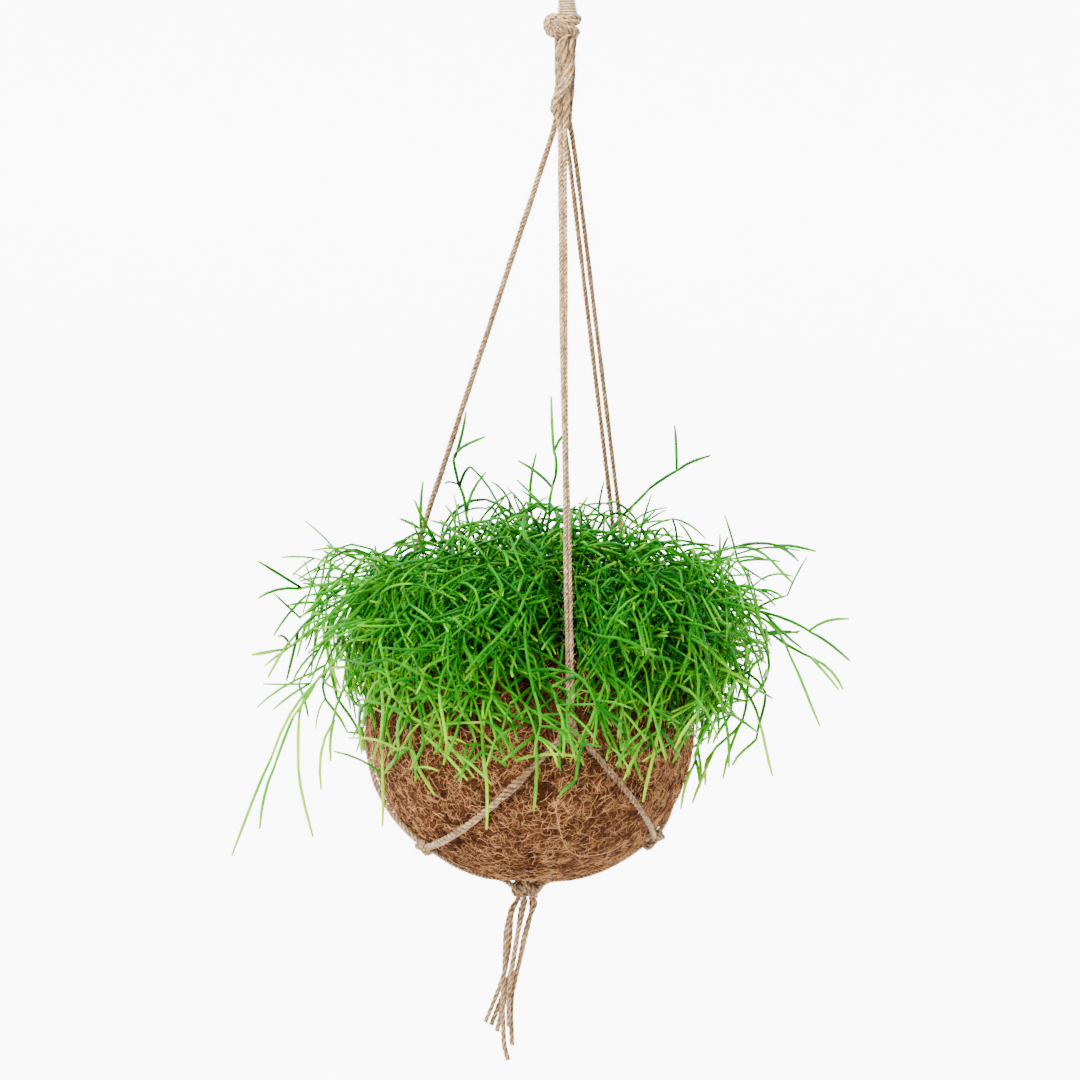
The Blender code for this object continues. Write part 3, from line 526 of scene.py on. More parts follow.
def loop_side_points():
    """The middle line of the folded bundle, from the foot of its left leg over the eye to the right one."""
    half_width = (LOOP_EYE_WIDTH + LOOP_CORD) / 2
    bottom = -LOOP_EYE_HEIGHT - LOOP_CORD / 2
    points = [Vector((-x, 0, z)) for x, z in reversed(NECK_FOOT)]
    for step in range(LOOP_STEPS + 1):
        t = LOOP_OPEN * (2 * step / LOOP_STEPS - 1)
        height = (1 + math.cos(t)) / 2
        pinch = LOOP_FOOT_SHARE + (1 - LOOP_FOOT_SHARE) * height
        width = half_width * math.sin(t) * pinch * LOOP_SWELL
        points.append(Vector((width, 0, bottom + (LOOP_CORD / 2 - bottom) * height)))
    return [*points, *(Vector((x, 0, z)) for x, z in NECK_FOOT)]


def leant(point, lean):
    """The point moved to the right by what the (height, amount) pairs say for its height."""
    return point + Vector((float(read(lean, point.z)), 0, 0))


def laid_beside(route, lay, pitch, start, step=0.003):
    """A line that winds round a bundle's middle line at a distance from it."""
    line = np.array(smooth_route(route, step))
    _, across, up = line_frames(line[None])
    angles = (start + 2 * np.pi * measured(line)[1] / pitch)[:, None]
    beside = line + lay * (np.cos(angles) * across[0] + np.sin(angles) * up[0])
    return [Vector(point) for point in beside]


loop_groups = []
loop_middle = [leant(point, LOOP_LEAN) for point in loop_side_points()]
for cord in range(3):
    line = laid_beside(loop_middle, LOOP_LAY, LOOP_LAY_PITCH, cord * 2 * math.pi / 3)
    loop_groups.append(twine(line, CORD, cord_draws))
    loop_groups.append(hairs(line, CORD / 2, *LOOP_HAIRS, cord_draws))
loop = piece_of("folded_loop", loop_groups, jute)
settle(loop, "jute", "hanging_loop")


# The top knot: all six legs tied in one overhand knot, with a fine pale twine wound round the neck just
# above it, and one loose ply that crosses below.
TOP_KNOT = Vector((0.0004, -0.0004, -0.0642))
TOP_KNOT_SCALE = 0.0027
TOP_KNOT_AXIS = Vector((0.15, -0.50, 0.85)).normalized()
TOP_KNOT_LOBE = Vector((-1.0, -0.3, -0.35)).normalized()
# The turn round the neck above it: radius, tilt in degrees, rise over the knot's middle
TOP_KNOT_TURN = (0.0064, -14, 0.0022)
TOP_KNOT_TURN_ASIDE = Vector((0.0013, 0, 0))
TOP_KNOT_LAY = 0.0019
TOP_KNOT_CORDS = 4
KNOT_PITCH = 0.060
KNOT_PLY_PITCH = 0.009
KNOT_HAIRS = (40, 0.0026)
OVERHAND_STEPS = 36
TOP_KNOT_CORD = 0.0026
BINDING_CORD = 0.0010
BINDING_TURNS = 9
BINDING_SLANT = 0.10
BINDING_TOP = (-0.0478, 0.0040)
BINDING_FOOT = (-0.0606, 0.0058)
BINDING_STEPS = 12
BINDING_HAIRS = (90, 0.0022)
FINE_PITCH = 0.004
# The loose ply's points in millimetres, and where the whole of it lies from there
LOOSE_PLY = (
    (5.2, -1.0, -63.6), (4.2, -4.4, -65.6), (1.2, -5.4, -67.6), (-2.4, -4.9, -69.8), (-4.2, -2.4, -71.8))
LOOSE_PLY_SHIFT = Vector((0.0025, 0, -0.002))
TWINE_PALE = (0.72, 0.52, 0.28)
TWINE_MIDDLE = (0.50, 0.34, 0.17)


def overhand(centre, axis, upright, scale):
    """Points on the path of an overhand knot, flat side along the axis and one of its lobes upright."""
    side = upright.cross(axis).normalized()
    lobe = axis.cross(side)
    points = []
    for step in range(OVERHAND_STEPS):
        t = 2 * math.pi * step / OVERHAND_STEPS
        across = math.sin(t) + 2 * math.sin(2 * t)
        along = 2 * math.cos(2 * t) - math.cos(t)
        points.append(centre + (side * across + lobe * along - axis * math.sin(3 * t)) * scale)
    return points


def knotted(path, cords, lay, thickness, draws):
    """The cords of a pulled-tight knot, winding round one another along its closed path."""
    path = [*path, path[0]]
    groups = []
    for cord in range(cords):
        line = laid_beside(path, lay, KNOT_PITCH, cord * 2 * math.pi / cords, step=0.0015)
        groups.append(twine(line, thickness, draws, pitch=KNOT_PLY_PITCH))
        groups.append(hairs(line, thickness / 2, *KNOT_HAIRS, draws))
    return groups


def turn_round(centre, radius, tilt, steps=24):
    """Points of one turn round the neck, lower at its left by the tilt in degrees."""
    slope = math.radians(-tilt)
    points = []
    for step in range(steps):
        angle = 2 * math.pi * step / steps
        across = radius * math.cos(angle)
        points.append(centre + Vector((
            across * math.cos(slope), radius * 0.85 * math.sin(angle), across * math.sin(slope))))
    return points


fine_twine = jute_material("fine_twine", TWINE_PALE, TWINE_MIDDLE, JUTE_MIDDLE)
radius, tilt, rise = TOP_KNOT_TURN
top_knot_groups = []
for path in (overhand(TOP_KNOT, TOP_KNOT_AXIS, TOP_KNOT_LOBE, TOP_KNOT_SCALE),
             turn_round(TOP_KNOT + TOP_KNOT_TURN_ASIDE + UP * rise, radius, tilt)):
    top_knot_groups += knotted(path, TOP_KNOT_CORDS, TOP_KNOT_LAY, TOP_KNOT_CORD, cord_draws)
top_knot = piece_of("tied_top_knot", top_knot_groups, jute)
settle(top_knot, "jute", "top_knot")
binding_route = []
for step in range(BINDING_TURNS * BINDING_STEPS + 1):
    share = step / (BINDING_TURNS * BINDING_STEPS)
    angle = 2 * math.pi * step / BINDING_STEPS
    radius = BINDING_TOP[1] + (BINDING_FOOT[1] - BINDING_TOP[1]) * share
    level = BINDING_TOP[0] + (BINDING_FOOT[0] - BINDING_TOP[0]) * share
    level += BINDING_SLANT * radius * math.cos(angle)
    spot = Vector((radius * math.cos(angle), radius * math.sin(angle), level))
    binding_route.append(leant(spot, LOOP_LEAN))
loose_ply = [Vector(point) / 1000 + LOOSE_PLY_SHIFT for point in LOOSE_PLY]
binding = piece_of("binding_turns", [
    twine(binding_route, BINDING_CORD, cord_draws, pitch=FINE_PITCH, shade=0.8),
    hairs(binding_route, BINDING_CORD / 2, *BINDING_HAIRS, cord_draws),
    twine(loose_ply, BINDING_CORD, cord_draws, pitch=FINE_PITCH, shade=0.9),
], fine_twine)
settle(binding, "jute")


# The six strands: jute cord under the ball's weight, twisted round one another in the neck, then in three
# pairs straight down to the ball and on it to the upper knots.
NECK_TOP_Z = -0.0663
NECK_END_Z = -0.1160
NECK_RADIUS = 0.0034
NECK_TWIST = math.radians(290)
NECK_STEPS = 7
PAIR_SPREAD = math.radians(28)
BALL_CENTRE = Vector((0, 0, -0.448))
BALL_RADIUS = 0.090
BALL_DEPTH = 0.089
BALL_FULLNESS = 2.15
GAP = 0.0003
CORD_LIFT = CORD / 2 + GAP + 0.0005
KNOT_SCALE = 0.00125
KNOT_CORD = 0.0016
KNOT_LIFT = 0.0029
KNOT_REACH = 3 * KNOT_SCALE + KNOT_CORD / 2
STRAND_BENDS = (0, 0.35)
STRAND_INTO_KNOT = 0.004
# The strand's thickness at lengths from the top knot: it swells a little where nothing pulls it thin
STRAND_THICKNESS = {
    "front": ((0.0, 0.0044), (0.046, 0.0042), (0.060, 0.0027), (0.160, 0.0025), (0.350, 0.0021)),
    "back_right": ((0.0, 0.0044), (0.046, 0.0042), (0.060, 0.0025), (0.350, 0.0024)),
    "left": ((0.0, 0.0034), (0.046, 0.0028), (0.060, 0.0026), (0.350, 0.0024)),
}
STRAND_PITCH = ((0.0, 0.024), (0.048, 0.020), (0.062, 0.0080), (0.350, 0.0080))
STRAIGHT_STEP = 0.008
STRAND_HAIR_REACH = 0.0042
# How each pair lies in the neck: half the angle between its strands, then rows of the share of the way down,
# the turn from its own side of the ball, and the radius; the left pair crosses over the front of the others
NECK_LAY = {
    "front": (32, ((0.0, -60, 0.0038), (1.0, 0, 0.0034))),
    "back_right": (32, ((0.0, 45, 0.0038), (1.0, 0, 0.0034))),
    "left": (13, (
        (0.0, 195, 0.0034), (0.35, 165, 0.0040), (0.6, 110, 0.0058), (0.85, 45, 0.0060), (1.0, 0, 0.0038))),
}
# How far each pair hangs to the right of the plumb line's side: height, amount
PAIR_LEANS = {
    "front": ((-0.260, 0.0), (-0.120, 0.0018), (-0.100, 0.0026), (-0.068, 0.0022)),
    "left": ((-0.330, 0.0), (-0.120, 0.0027), (-0.068, 0.0022)),
    "back_right": ((-0.440, 0.0), (-0.330, 0.0035), (-0.140, 0.0038), (-0.100, 0.0026), (-0.068, 0.0022)),
}
# Each pair: how pale it is painted along its length, with painted light on the front pair and painted shade
# on the back right pair, and how far apart its strands hang, of the spacing of their solids; the front pair
# also turns a little about itself on its way down: height, degrees
PAIR_LIGHT_AND_SHADE = {
    "front": ((0.0, 0.20), (0.045, 0.35), (0.065, 0.90), (0.35, 0.80)),
    "back_right": ((0.0, 0.15), (0.350, 0.02)),
    "left": ((0.0, 0.80), (0.080, 0.62), (0.350, 0.32)),
}
PAIR_SPACING = {"front": 0.78, "back_right": 1.35, "left": 0.86}
PAIR_TURNS = {"front": ((-0.380, 0), (-0.290, 55), (-0.220, 15), (-0.120, 0))}
# The loose plies wound round the neck: how many, their points, how far out they lie, how they shift
NECK_PLIES = 14
NECK_PLY_POINTS = 8
NECK_PLY_OUT = (0.0046, 0.0055)
NECK_PLY_WANDER = 0.0003
NECK_PLY_CORD = 0.0012
NECK_PLY_HAIRS = (30, 0.0040)
# Each pair: name, azimuth from the front towards the right in degrees, height of its knot over the ball's
# centre, half the spacing of its strands at the knot
PAIRS = (
    ("front", 13, 0.004, 0.00150),
    ("back_right", 143, 0.014, 0.00210),
    ("left", -104, 0.015, 0.00155),
)


def heading(azimuth):
    """Level unit vector at an azimuth in degrees, 0 to the front and 90 to the right."""
    angle = math.radians(azimuth)
    return Vector((math.sin(angle), -math.cos(angle), 0))


def ball_reach(direction):
    """How far the ball's surface lies from its centre in a unit direction."""
    if direction.z >= 0:
        return BALL_RADIUS
    across = math.hypot(direction.x, direction.y)
    power = BALL_FULLNESS
    sum_of_powers = (across / BALL_RADIUS) ** power + (-direction.z / BALL_DEPTH) ** power
    return sum_of_powers ** (-1 / power)


def ball_radius_at(height):
    """The ball's radius at a height over its centre."""
    if height >= 0:
        return math.sqrt(max(0, BALL_RADIUS ** 2 - height ** 2))
    share = min(1, -height / BALL_DEPTH) ** BALL_FULLNESS
    return BALL_RADIUS * (1 - share) ** (1 / BALL_FULLNESS)


def on_ball(azimuth, height, lift):
    """The point over the ball's surface at an azimuth and a height, lifted off along its direction."""
    spot = heading(azimuth) * ball_radius_at(height) + UP * height
    return BALL_CENTRE + spot + spot.normalized() * lift


def strand_routes():
    """Route of each strand: through the neck, straight to the ball and down it to the upper knot."""
    touch_angle = math.asin((BALL_RADIUS + CORD_LIFT) / (NECK_END_Z - BALL_CENTRE.z))
    routes = {}
    for name, azimuth, height, half_spacing in PAIRS:
        knot = on_ball(azimuth, height, KNOT_LIFT)
        for side, sign in (("a", -1), ("b", 1)):
            points = []
            for step in range(NECK_STEPS + 1):
                share = step / NECK_STEPS
                angle = azimuth + math.degrees(sign * PAIR_SPREAD + NECK_TWIST * (1 - share))
                z = NECK_TOP_Z + (NECK_END_Z - NECK_TOP_Z) * share
                points.append(heading(angle) * NECK_RADIUS + UP * z)
            beside = heading(azimuth + 90) * sign * half_spacing
            knot_angle = math.asin(height / BALL_RADIUS)
            for share in STRAND_BENDS:
                angle = touch_angle + (knot_angle - touch_angle) * share
                direction = heading(azimuth) * math.cos(angle) + UP * math.sin(angle)
                points.append(BALL_CENTRE + direction * (BALL_RADIUS + CORD_LIFT) + beside)
            run = (knot + beside - points[-1]).normalized()
            points.append(knot + beside - run * (KNOT_REACH + GAP))
            routes[f"strand_{name}_{side}"] = points
    return routes


def straightened(route, joint):
    """The route with more points along its long straight run, so that it stays straight."""
    start, end = route[joint], route[joint + 1]
    count = round((end - start).length / STRAIGHT_STEP)
    between = [start.lerp(end, step / count) for step in range(1, count)]
    return [*route[:joint + 1], *between, *route[joint + 1:]]


def hung(point, partner, pair, azimuth, sign):
    """Where this point of a strand hangs: laid into the neck, then nearer to its partner or further off."""
    if point.z > NECK_END_Z - GAP:
        spread, rows = NECK_LAY[pair]
        shares, turns, radii = zip(*rows)
        share = (NECK_TOP_Z - point.z) / (NECK_TOP_Z - NECK_END_Z)
        side = heading(azimuth + sign * spread + float(np.interp(share, shares, turns)))
        return leant(side * float(np.interp(share, shares, radii)) + UP * point.z, PAIR_LEANS[pair])
    half = (point - partner) / 2 * PAIR_SPACING[pair]
    half.rotate(Matrix.Rotation(math.radians(read(PAIR_TURNS.get(pair, 0.0), point.z)), 3, "Z"))
    return leant((point + partner) / 2 + half, PAIR_LEANS[pair])


strands = strand_routes()
shown_strands = {}
for strand_name, route in strands.items():
    pair = strand_name[len("strand_"):-2]
    partner = strands[strand_name[:-1] + ("b" if strand_name[-1] == "a" else "a")]
    azimuth = next(row[1] for row in PAIRS if row[0] == pair)
    sign = -1 if strand_name[-1] == "a" else 1
    both = zip(straightened(route, NECK_STEPS), straightened(partner, NECK_STEPS))
    shown = [hung(point, other, pair, azimuth, sign) for point, other in both]
    shown[-1] = shown[-1] + (shown[-1] - shown[-2]).normalized() * STRAND_INTO_KNOT
    shown[0] = shown[0] + UP * STRAND_INTO_KNOT
    shown_strands[strand_name] = shown
    length = route_length(shown)
    strand = piece_of(strand_name.replace("strand", "jute_strand"), [
        twine(shown, STRAND_THICKNESS[pair], cord_draws, pitch=STRAND_PITCH, shade=PAIR_LIGHT_AND_SHADE[pair]),
        hairs(shown, CORD / 2, round(length * HAIRS_A_METRE), STRAND_HAIR_REACH, cord_draws),
    ], jute)
    settle(strand, "jute", strand_name)
ply_groups = []
for ply in range(NECK_PLIES):
    turn, reach = cord_draws.uniform(0, 2 * math.pi), cord_draws.uniform(*NECK_PLY_OUT)
    twist, first, last = cord_draws.normal(0.6, 0.8), cord_draws.uniform(0, 0.4), cord_draws.uniform(0.6, 1)
    line = []
    for step in range(NECK_PLY_POINTS):
        share = first + (last - first) * step / (NECK_PLY_POINTS - 1)
        angle = turn + twist * share + cord_draws.normal(0, 0.12)
        spot = Vector((math.cos(angle), math.sin(angle), 0)) * (reach + cord_draws.normal(0, NECK_PLY_WANDER))
        line.append(leant(spot + UP * (NECK_TOP_Z + (NECK_END_Z - NECK_TOP_Z) * share), PAIR_LEANS["front"]))
    shade = cord_draws.uniform(0.0, 0.7)
    ply_groups.append(twine(line, NECK_PLY_CORD, cord_draws, pitch=KNOT_PLY_PITCH, fine=0.0010, shade=shade))
    ply_groups.append(hairs(line, NECK_PLY_CORD / 2, *NECK_PLY_HAIRS, cord_draws))
settle(piece_of("neck_plies", ply_groups, jute), "jute")


# The net round the ball, of the same jute: an upper knot ends each pair, its two strands part and lie
# slantwise on the coir to the lower knots, and from each of those two strands run under the ball to the
# bottom knot.
SLANT_STEPS = 7
UNDER_STEPS = 5
UNDER_HALF_SPACING = 0.0016
UNDER_LEAVES_BALL = 0.014
UNDER_LANDING_RISE = 0.0012
BOTTOM_KNOT_TURN = 0.0053
BOTTOM_KNOT_CORD = 0.0028
BOTTOM_KNOT_SCALE = 0.0022
BOTTOM_KNOT_LAY = 0.0018
BOTTOM_KNOT_SHIFT = Vector((0.0014, 0, 0.0018))
NET_CORD = 0.0028
SLANT_PITCH = 0.010
LOOSE_SLANT_PITCH = 0.011
# How pale the slants are painted: painted shade under the plant, paler towards their lower knots
SLANT_PAINTED_SHADE = ((0.0, -0.05), (0.036, 0.05), (0.052, 0.45), (0.120, 0.75))
NET_HAIRS = (380, 0.0040)
UNDER_HAIRS = (90, 0.0040)
NET_HAIR_LEAN = 1.6
NET_INTO_KNOT = 0.003
# The scales of the two knots that differ from the others, and how the two cords of each knot lie
NET_KNOT_SCALES = {"front": 0.00105, "front_right": 0.00175}
NET_KNOT_LAY = 0.9
NET_KNOT_CORD = 0.0027
# The strands under the ball are pressed into the coir, and painted darker there as painted shade
UNDER_CORD = 0.0024
UNDER_SINK = 0.0012
UNDER_PAINTED_SHADE = 0.25
# The slant at the left has come loose half way down and swells there: length along it, thickness
LOOSE_SLANT = (
    (0.0, 0.0024), (0.034, 0.0026), (0.041, 0.0052), (0.047, 0.0050), (0.054, 0.0033), (0.110, 0.0036))
# Each lower knot: name, azimuth, height over the ball's centre, pairs that reach it from left and right
LOWER_KNOTS = (
    ("front_left", -64, -0.0690, "left", "front"),
    ("front_right", 79, -0.0600, "front", "back_right"),
    ("back", 196, -0.0640, "back_right", "left"),
)


def geodesic(start, end, steps):
    """Points of the shortest way over the ball between two points near it, both ends included."""
    from_centre = (start - BALL_CENTRE).normalized()
    to_centre = (end - BALL_CENTRE).normalized()
    points = []
    for step in range(steps + 1):
        direction = from_centre.slerp(to_centre, step / steps)
        points.append(BALL_CENTRE + direction * (ball_reach(direction) + CORD_LIFT))
    return points


def between_knots(start_knot, end_knot, steps):
    """A cord's route over the ball from one knot to another, with its ends against both knots."""
    points = geodesic(start_knot, end_knot, steps)
    first = start_knot + (points[1] - start_knot).normalized() * (KNOT_REACH + GAP)
    last = end_knot + (points[-2] - end_knot).normalized() * (KNOT_REACH + GAP)
    return [first, *points[1:-1], last]


def under_route(knot, azimuth, sign):
    """A strand's route from a lower knot under the ball to the side of the bottom knot."""
    beside = heading(azimuth + 90) * sign * UNDER_HALF_SPACING
    low = BALL_CENTRE - UP * (BALL_DEPTH + CORD_LIFT)
    start = knot + beside
    path = geodesic(start, low + heading(azimuth) * UNDER_LEAVES_BALL + beside, UNDER_STEPS)
    first = start + (path[1] - start).normalized() * (KNOT_REACH + GAP)
    reach = BOTTOM_KNOT_TURN + BOTTOM_KNOT_CORD / 2 + GAP
    landing = BOTTOM_KNOT + UP * UNDER_LANDING_RISE + heading(azimuth) * reach + beside
    return [first, *path[1:], landing]


def drawn_in(route, amount):
    """The route made longer at both ends, so that the cord goes into its knots."""
    first = route[0] + (route[0] - route[1]).normalized() * amount
    last = route[-1] + (route[-1] - route[-2]).normalized() * amount
    return [first, *route[1:-1], last]


upper = {row[0]: on_ball(row[1], row[2], KNOT_LIFT) for row in PAIRS}
lower = {row[0]: on_ball(row[1], row[2], KNOT_LIFT) for row in LOWER_KNOTS}
net = {}
for name, azimuth, _, left_pair, right_pair in LOWER_KNOTS:
    for pair in (left_pair, right_pair):
        net[f"slant_{pair}_to_{name}"] = between_knots(upper[pair], lower[name], SLANT_STEPS)
    for side, sign in (("a", -1), ("b", 1)):
        net[f"under_{name}_{side}"] = under_route(lower[name], azimuth, sign)
for net_name, route in net.items():
    shown = drawn_in(route, NET_INTO_KNOT)
    loose_fibres = NET_HAIRS
    if net_name.startswith("under"):
        loose_fibres = UNDER_HAIRS
        shown = [point + (BALL_CENTRE - point).normalized() * UNDER_SINK for point in shown]
        twine_group = twine(shown, UNDER_CORD, cord_draws, shade=UNDER_PAINTED_SHADE)
    elif net_name == "slant_front_to_front_left":
        twine_group = twine(shown, LOOSE_SLANT, cord_draws, pitch=LOOSE_SLANT_PITCH, shade=SLANT_PAINTED_SHADE)
    else:
        twine_group = twine(shown, NET_CORD, cord_draws, pitch=SLANT_PITCH, shade=SLANT_PAINTED_SHADE)
    piece = piece_of("jute_" + net_name, [
        twine_group, hairs(shown, CORD / 2, *loose_fibres, cord_draws, lean=NET_HAIR_LEAN)], jute)
    settle(piece, "jute", net_name)
for knots, word, upright in ((upper, "upper", UP), (lower, "lower", -UP)):
    for name, centre in knots.items():
        axis = (centre - BALL_CENTRE).normalized()
        scale = NET_KNOT_SCALES.get(name, KNOT_SCALE)
        path = overhand(centre, axis, upright, scale)
        groups = knotted(path, 2, scale * NET_KNOT_LAY, NET_KNOT_CORD, cord_draws)
        settle(piece_of(f"tied_{word}_{name}", groups, jute), "jute", f"{word}_knot_{name}")
bottom_path = overhand(BOTTOM_KNOT + BOTTOM_KNOT_SHIFT, UP, Vector((0.2, -1, 0)), BOTTOM_KNOT_SCALE)
bottom_knot = piece_of("tied_bottom_knot", knotted(bottom_path, 4, BOTTOM_KNOT_LAY, CORD, cord_draws), jute)
settle(bottom_knot, "jute", "bottom_knot")


# The coir wrap: a felt of coconut fibre about 8 mm thick, pressed round the soil. A dense brown mat lies
# below, painted with a web of fibres over near-black painted shade in its gaps, and thousands of curly loose
# fibres, some of them pale, lie on it and stand off it.
RIM_HEIGHT = 0.042
COIR_WALL = 0.008
COIR_SEGMENTS = 128
COIR_RINGS = 88
MAT_SINK = 0.0007
MAT_LUMP_SIZE = 0.0035
MAT_LUMP_HEIGHT = 0.0016
# Loose fibres lie on the mat and rise off it by chance; the strays are longer and straighter
FIBRE_RADIUS = 0.00013
FIBRE_POINTS = 4
FIBRE_STEP = 0.0030
FIBRE_CURL = 0.70
FIBRE_RISE = (0.0006, 0.0003)
# How many there are, and between which heights over the ball's centre, in shares of its radius
FIBRES = {"low": (7000, -1.0, -0.45), "middle": (6500, -0.45, 0.0), "high": (1300, 0.0, 0.47)}
STRAY_FIBRES = 170
STRAY_STEP = 0.0042
STRAY_CURL = 0.22
STRAY_RISE = (0.0012, 0.0013)
STRAY_LIFT = 0.0009
# One long pale fibre that lies loose on the front, from the ball's centre, in millimetres
LONG_STRAY = (
    (13.0, 0, -34.0), (15.6, 0, -45.1), (20.2, 0, -60.6),
    (28.4, 0, -67.1), (43.9, 0, -65.4), (53.5, 0, -59.2))
PATCHES = 0.08
# Painted shade: the near-black in the gaps of the mat's web; the browns are the coir's own colour
COIR_GAP_SHADE = (0.006, 0.0014, 0.0008)
COIR_DARK = (0.052, 0.013, 0.0050)
COIR_MIDDLE = (0.25, 0.092, 0.030)
COIR_PALE = (0.95, 0.50, 0.20)
# The web of finer fibres drawn on the mat: scale of its cells, and how far their edges wander
WEB_SCALES = ((460, 0.0016), (800, 0.0010))


def web_of_fibres(tree, place):
    """A value that is high on the wandering lines of a tangled web, laid over a second, finer one."""
    layers = []
    for scale, wander in WEB_SCALES:
        stir = new_node(tree, "TexNoise", Scale=scale * 0.8, Detail=1)
        tree.links.new(place, stir.inputs["Vector"])
        push = new_node(tree, "VectorMath")
        push.operation = "MULTIPLY_ADD"
        for value, socket in zip((stir.outputs["Color"], (wander, wander, wander), place), push.inputs):
            wire(tree, value, socket)
        cells = new_node(tree, "TexVoronoi", Scale=scale)
        cells.feature = "DISTANCE_TO_EDGE"
        tree.links.new(push.outputs["Vector"], cells.inputs["Vector"])
        layers.append(ranged(tree, cells.outputs["Distance"], (0.0, 0.16, 0.5, 0.0)))
    return figured(tree, "MAXIMUM", *layers)


def coir_material(name, steps, scale, webbed=False):
    """Dull brown fibre: each has its own shade, and a fine grain."""
    material, tree, shader = fresh_material(name, Roughness=0.9, Specular_IOR_Level=0.08)
    place = new_node(tree, "TexCoord").outputs["Object"]
    grain = noise(tree, place, Scale=scale, Detail=2, Roughness=0.7)
    patches = noise(tree, place, Scale=75, Detail=1, Roughness=0.6)
    relief = web_of_fibres(tree, place) if webbed else grain
    shade = relief if webbed else attribute(tree, "shade")
    level = figured(tree, "ADD", ranged(tree, patches, (0.35, 0.65, -PATCHES, PATCHES)), shade)
    colour = colour_steps(tree, figured(tree, "MULTIPLY_ADD", grain, 0.55, level), steps)
    coloured(tree, shader, colour, relief, 0.8, 0.0005)
    return material


coir_mat = coir_material(
    "coir_mat", [(0.34, COIR_GAP_SHADE), (0.60, COIR_DARK), (0.95, COIR_MIDDLE)], 900, webbed=True)
coir_fibre = coir_material("coir_fibre", [
    (0.25, COIR_DARK), (0.52, COIR_MIDDLE), (0.95, COIR_PALE)], 300)

bpy.ops.object.select_all(action="DESELECT")
bpy.ops.mesh.primitive_uv_sphere_add(segments=COIR_SEGMENTS, ring_count=COIR_RINGS, radius=BALL_RADIUS)
mat = bpy.context.object
mat.name = "coir_mat"
bpy.ops.object.mode_set(mode="EDIT")
bpy.ops.mesh.bisect(plane_co=(0, 0, RIM_HEIGHT), plane_no=(0, 0, 1), clear_outer=True)
bpy.ops.object.mode_set(mode="OBJECT")
for vert in mat.data.vertices:
    direction = vert.co.normalized()
    vert.co = BALL_CENTRE + direction * (ball_reach(direction) - MAT_SINK)
mat.data.update()
wall = mat.modifiers.new("wall", "SOLIDIFY")
wall.thickness = COIR_WALL - MAT_SINK
wall.offset = -1
bpy.ops.object.modifier_apply(modifier="wall")
lumps = bpy.data.textures.new("coir_lumps", "CLOUDS")
lumps.noise_scale = MAT_LUMP_SIZE
lumps.noise_depth = 3
rough = mat.modifiers.new("rough", "DISPLACE")
rough.texture = lumps
rough.texture_coords = "LOCAL"
rough.strength = MAT_LUMP_HEIGHT
rough.mid_level = 0.55
bpy.ops.object.modifier_apply(modifier="rough")
mat.data.shade_smooth()
mat.data.materials.append(coir_mat)
settle(mat, "coir", "coir_wrap")


def reaches(directions):
    """How far the ball's surface lies from its centre, for rows of unit directions."""
    across = np.hypot(directions[:, 0], directions[:, 1])
    depth = np.maximum(-directions[:, 2], 0)
    power = BALL_FULLNESS
    lower_half = ((across / BALL_RADIUS) ** power + (depth / BALL_DEPTH) ** power) ** (-1 / power)
    return np.where(directions[:, 2] >= 0, BALL_RADIUS, lower_half)


def coir_fibres(count, lowest, highest, step, lift, curl, draws):
    """Curly fibres that wander over the ball between two heights given as shares of its radius."""
    height = draws.uniform(lowest, highest, count)
    turn = draws.uniform(0, 2 * np.pi, count)
    level = np.sqrt(1 - height ** 2)
    spot = np.stack([level * np.cos(turn), level * np.sin(turn), height], 1)
    way = unit(np.cross(spot, draws.normal(0, 1, (count, 3))))
    curling = draws.normal(0, curl, count)
    start_lift = draws.uniform(-0.0004, lift[0], count)
    rise = draws.normal(0, lift[1], (count, FIBRE_POINTS))
    lines = []
    for point in range(FIBRE_POINTS):
        off = start_lift + np.abs(np.sin(point * 0.9 + turn)) * rise[:, point]
        lines.append(np.array(BALL_CENTRE) + spot * (reaches(spot) + off)[:, None])
        angle = (curling + draws.normal(0, 0.35, count))[:, None]
        way = way * np.cos(angle) + np.cross(spot, way) * np.sin(angle)
        spot = unit(spot + way * (step / BALL_RADIUS))
        over = np.maximum(spot[:, 2] - RIM_HEIGHT / BALL_RADIUS, 0)
        spot[:, 2] -= over
        spot = unit(spot)
        way = unit(way - spot * (way * spot).sum(1, keepdims=True))
    radii = FIBRE_RADIUS * draws.uniform(0.6, 1.25, (count, 1)) * np.linspace(1, 0.75, FIBRE_POINTS)
    shades = draws.uniform(0, 1, count) ** 2.0
    return tubes(np.stack(lines, 1), radii, 3, shades)


coir_draws = np.random.default_rng(31)
for name, (count, lowest, highest) in FIBRES.items():
    groups = [coir_fibres(count, lowest, highest, FIBRE_STEP, FIBRE_RISE, FIBRE_CURL, coir_draws)]
    settle(piece_of("coir_fibres_" + name, groups, coir_fibre), "coir")
curl = smooth_route([Vector(point) / 1000 for point in LONG_STRAY], 0.002)
for point in curl:
    point.y = -math.sqrt(BALL_RADIUS ** 2 - point.x ** 2 - point.z ** 2)
    point.length = ball_reach(point.normalized()) + STRAY_LIFT
curl_line = np.array([[tuple(BALL_CENTRE + point) for point in curl]])
strays = piece_of("coir_strays", [
    coir_fibres(STRAY_FIBRES, -0.95, 0.2, STRAY_STEP, STRAY_RISE, STRAY_CURL, coir_draws),
    tubes(curl_line, np.full((1, len(curl)), 1.4 * FIBRE_RADIUS), 3, 1.0)], coir_fibre)
settle(strays, "coir")


# The soil that fills the wrap: dark peat, crumbly on top where it shows between the stems. The ball's solid
# is kept as it is, and loose crumbs lie on its top.
SOIL_EDGE_HEIGHT = 0.036
SOIL_DOME_HEIGHT = 0.039
SOIL_DARK = (0.018, 0.011, 0.007)
SOIL_LIGHT = (0.085, 0.052, 0.032)
CRUMBS = 220
CRUMB_SPREAD = 0.070
CRUMB_SIZES = (0.0010, 0.0028)

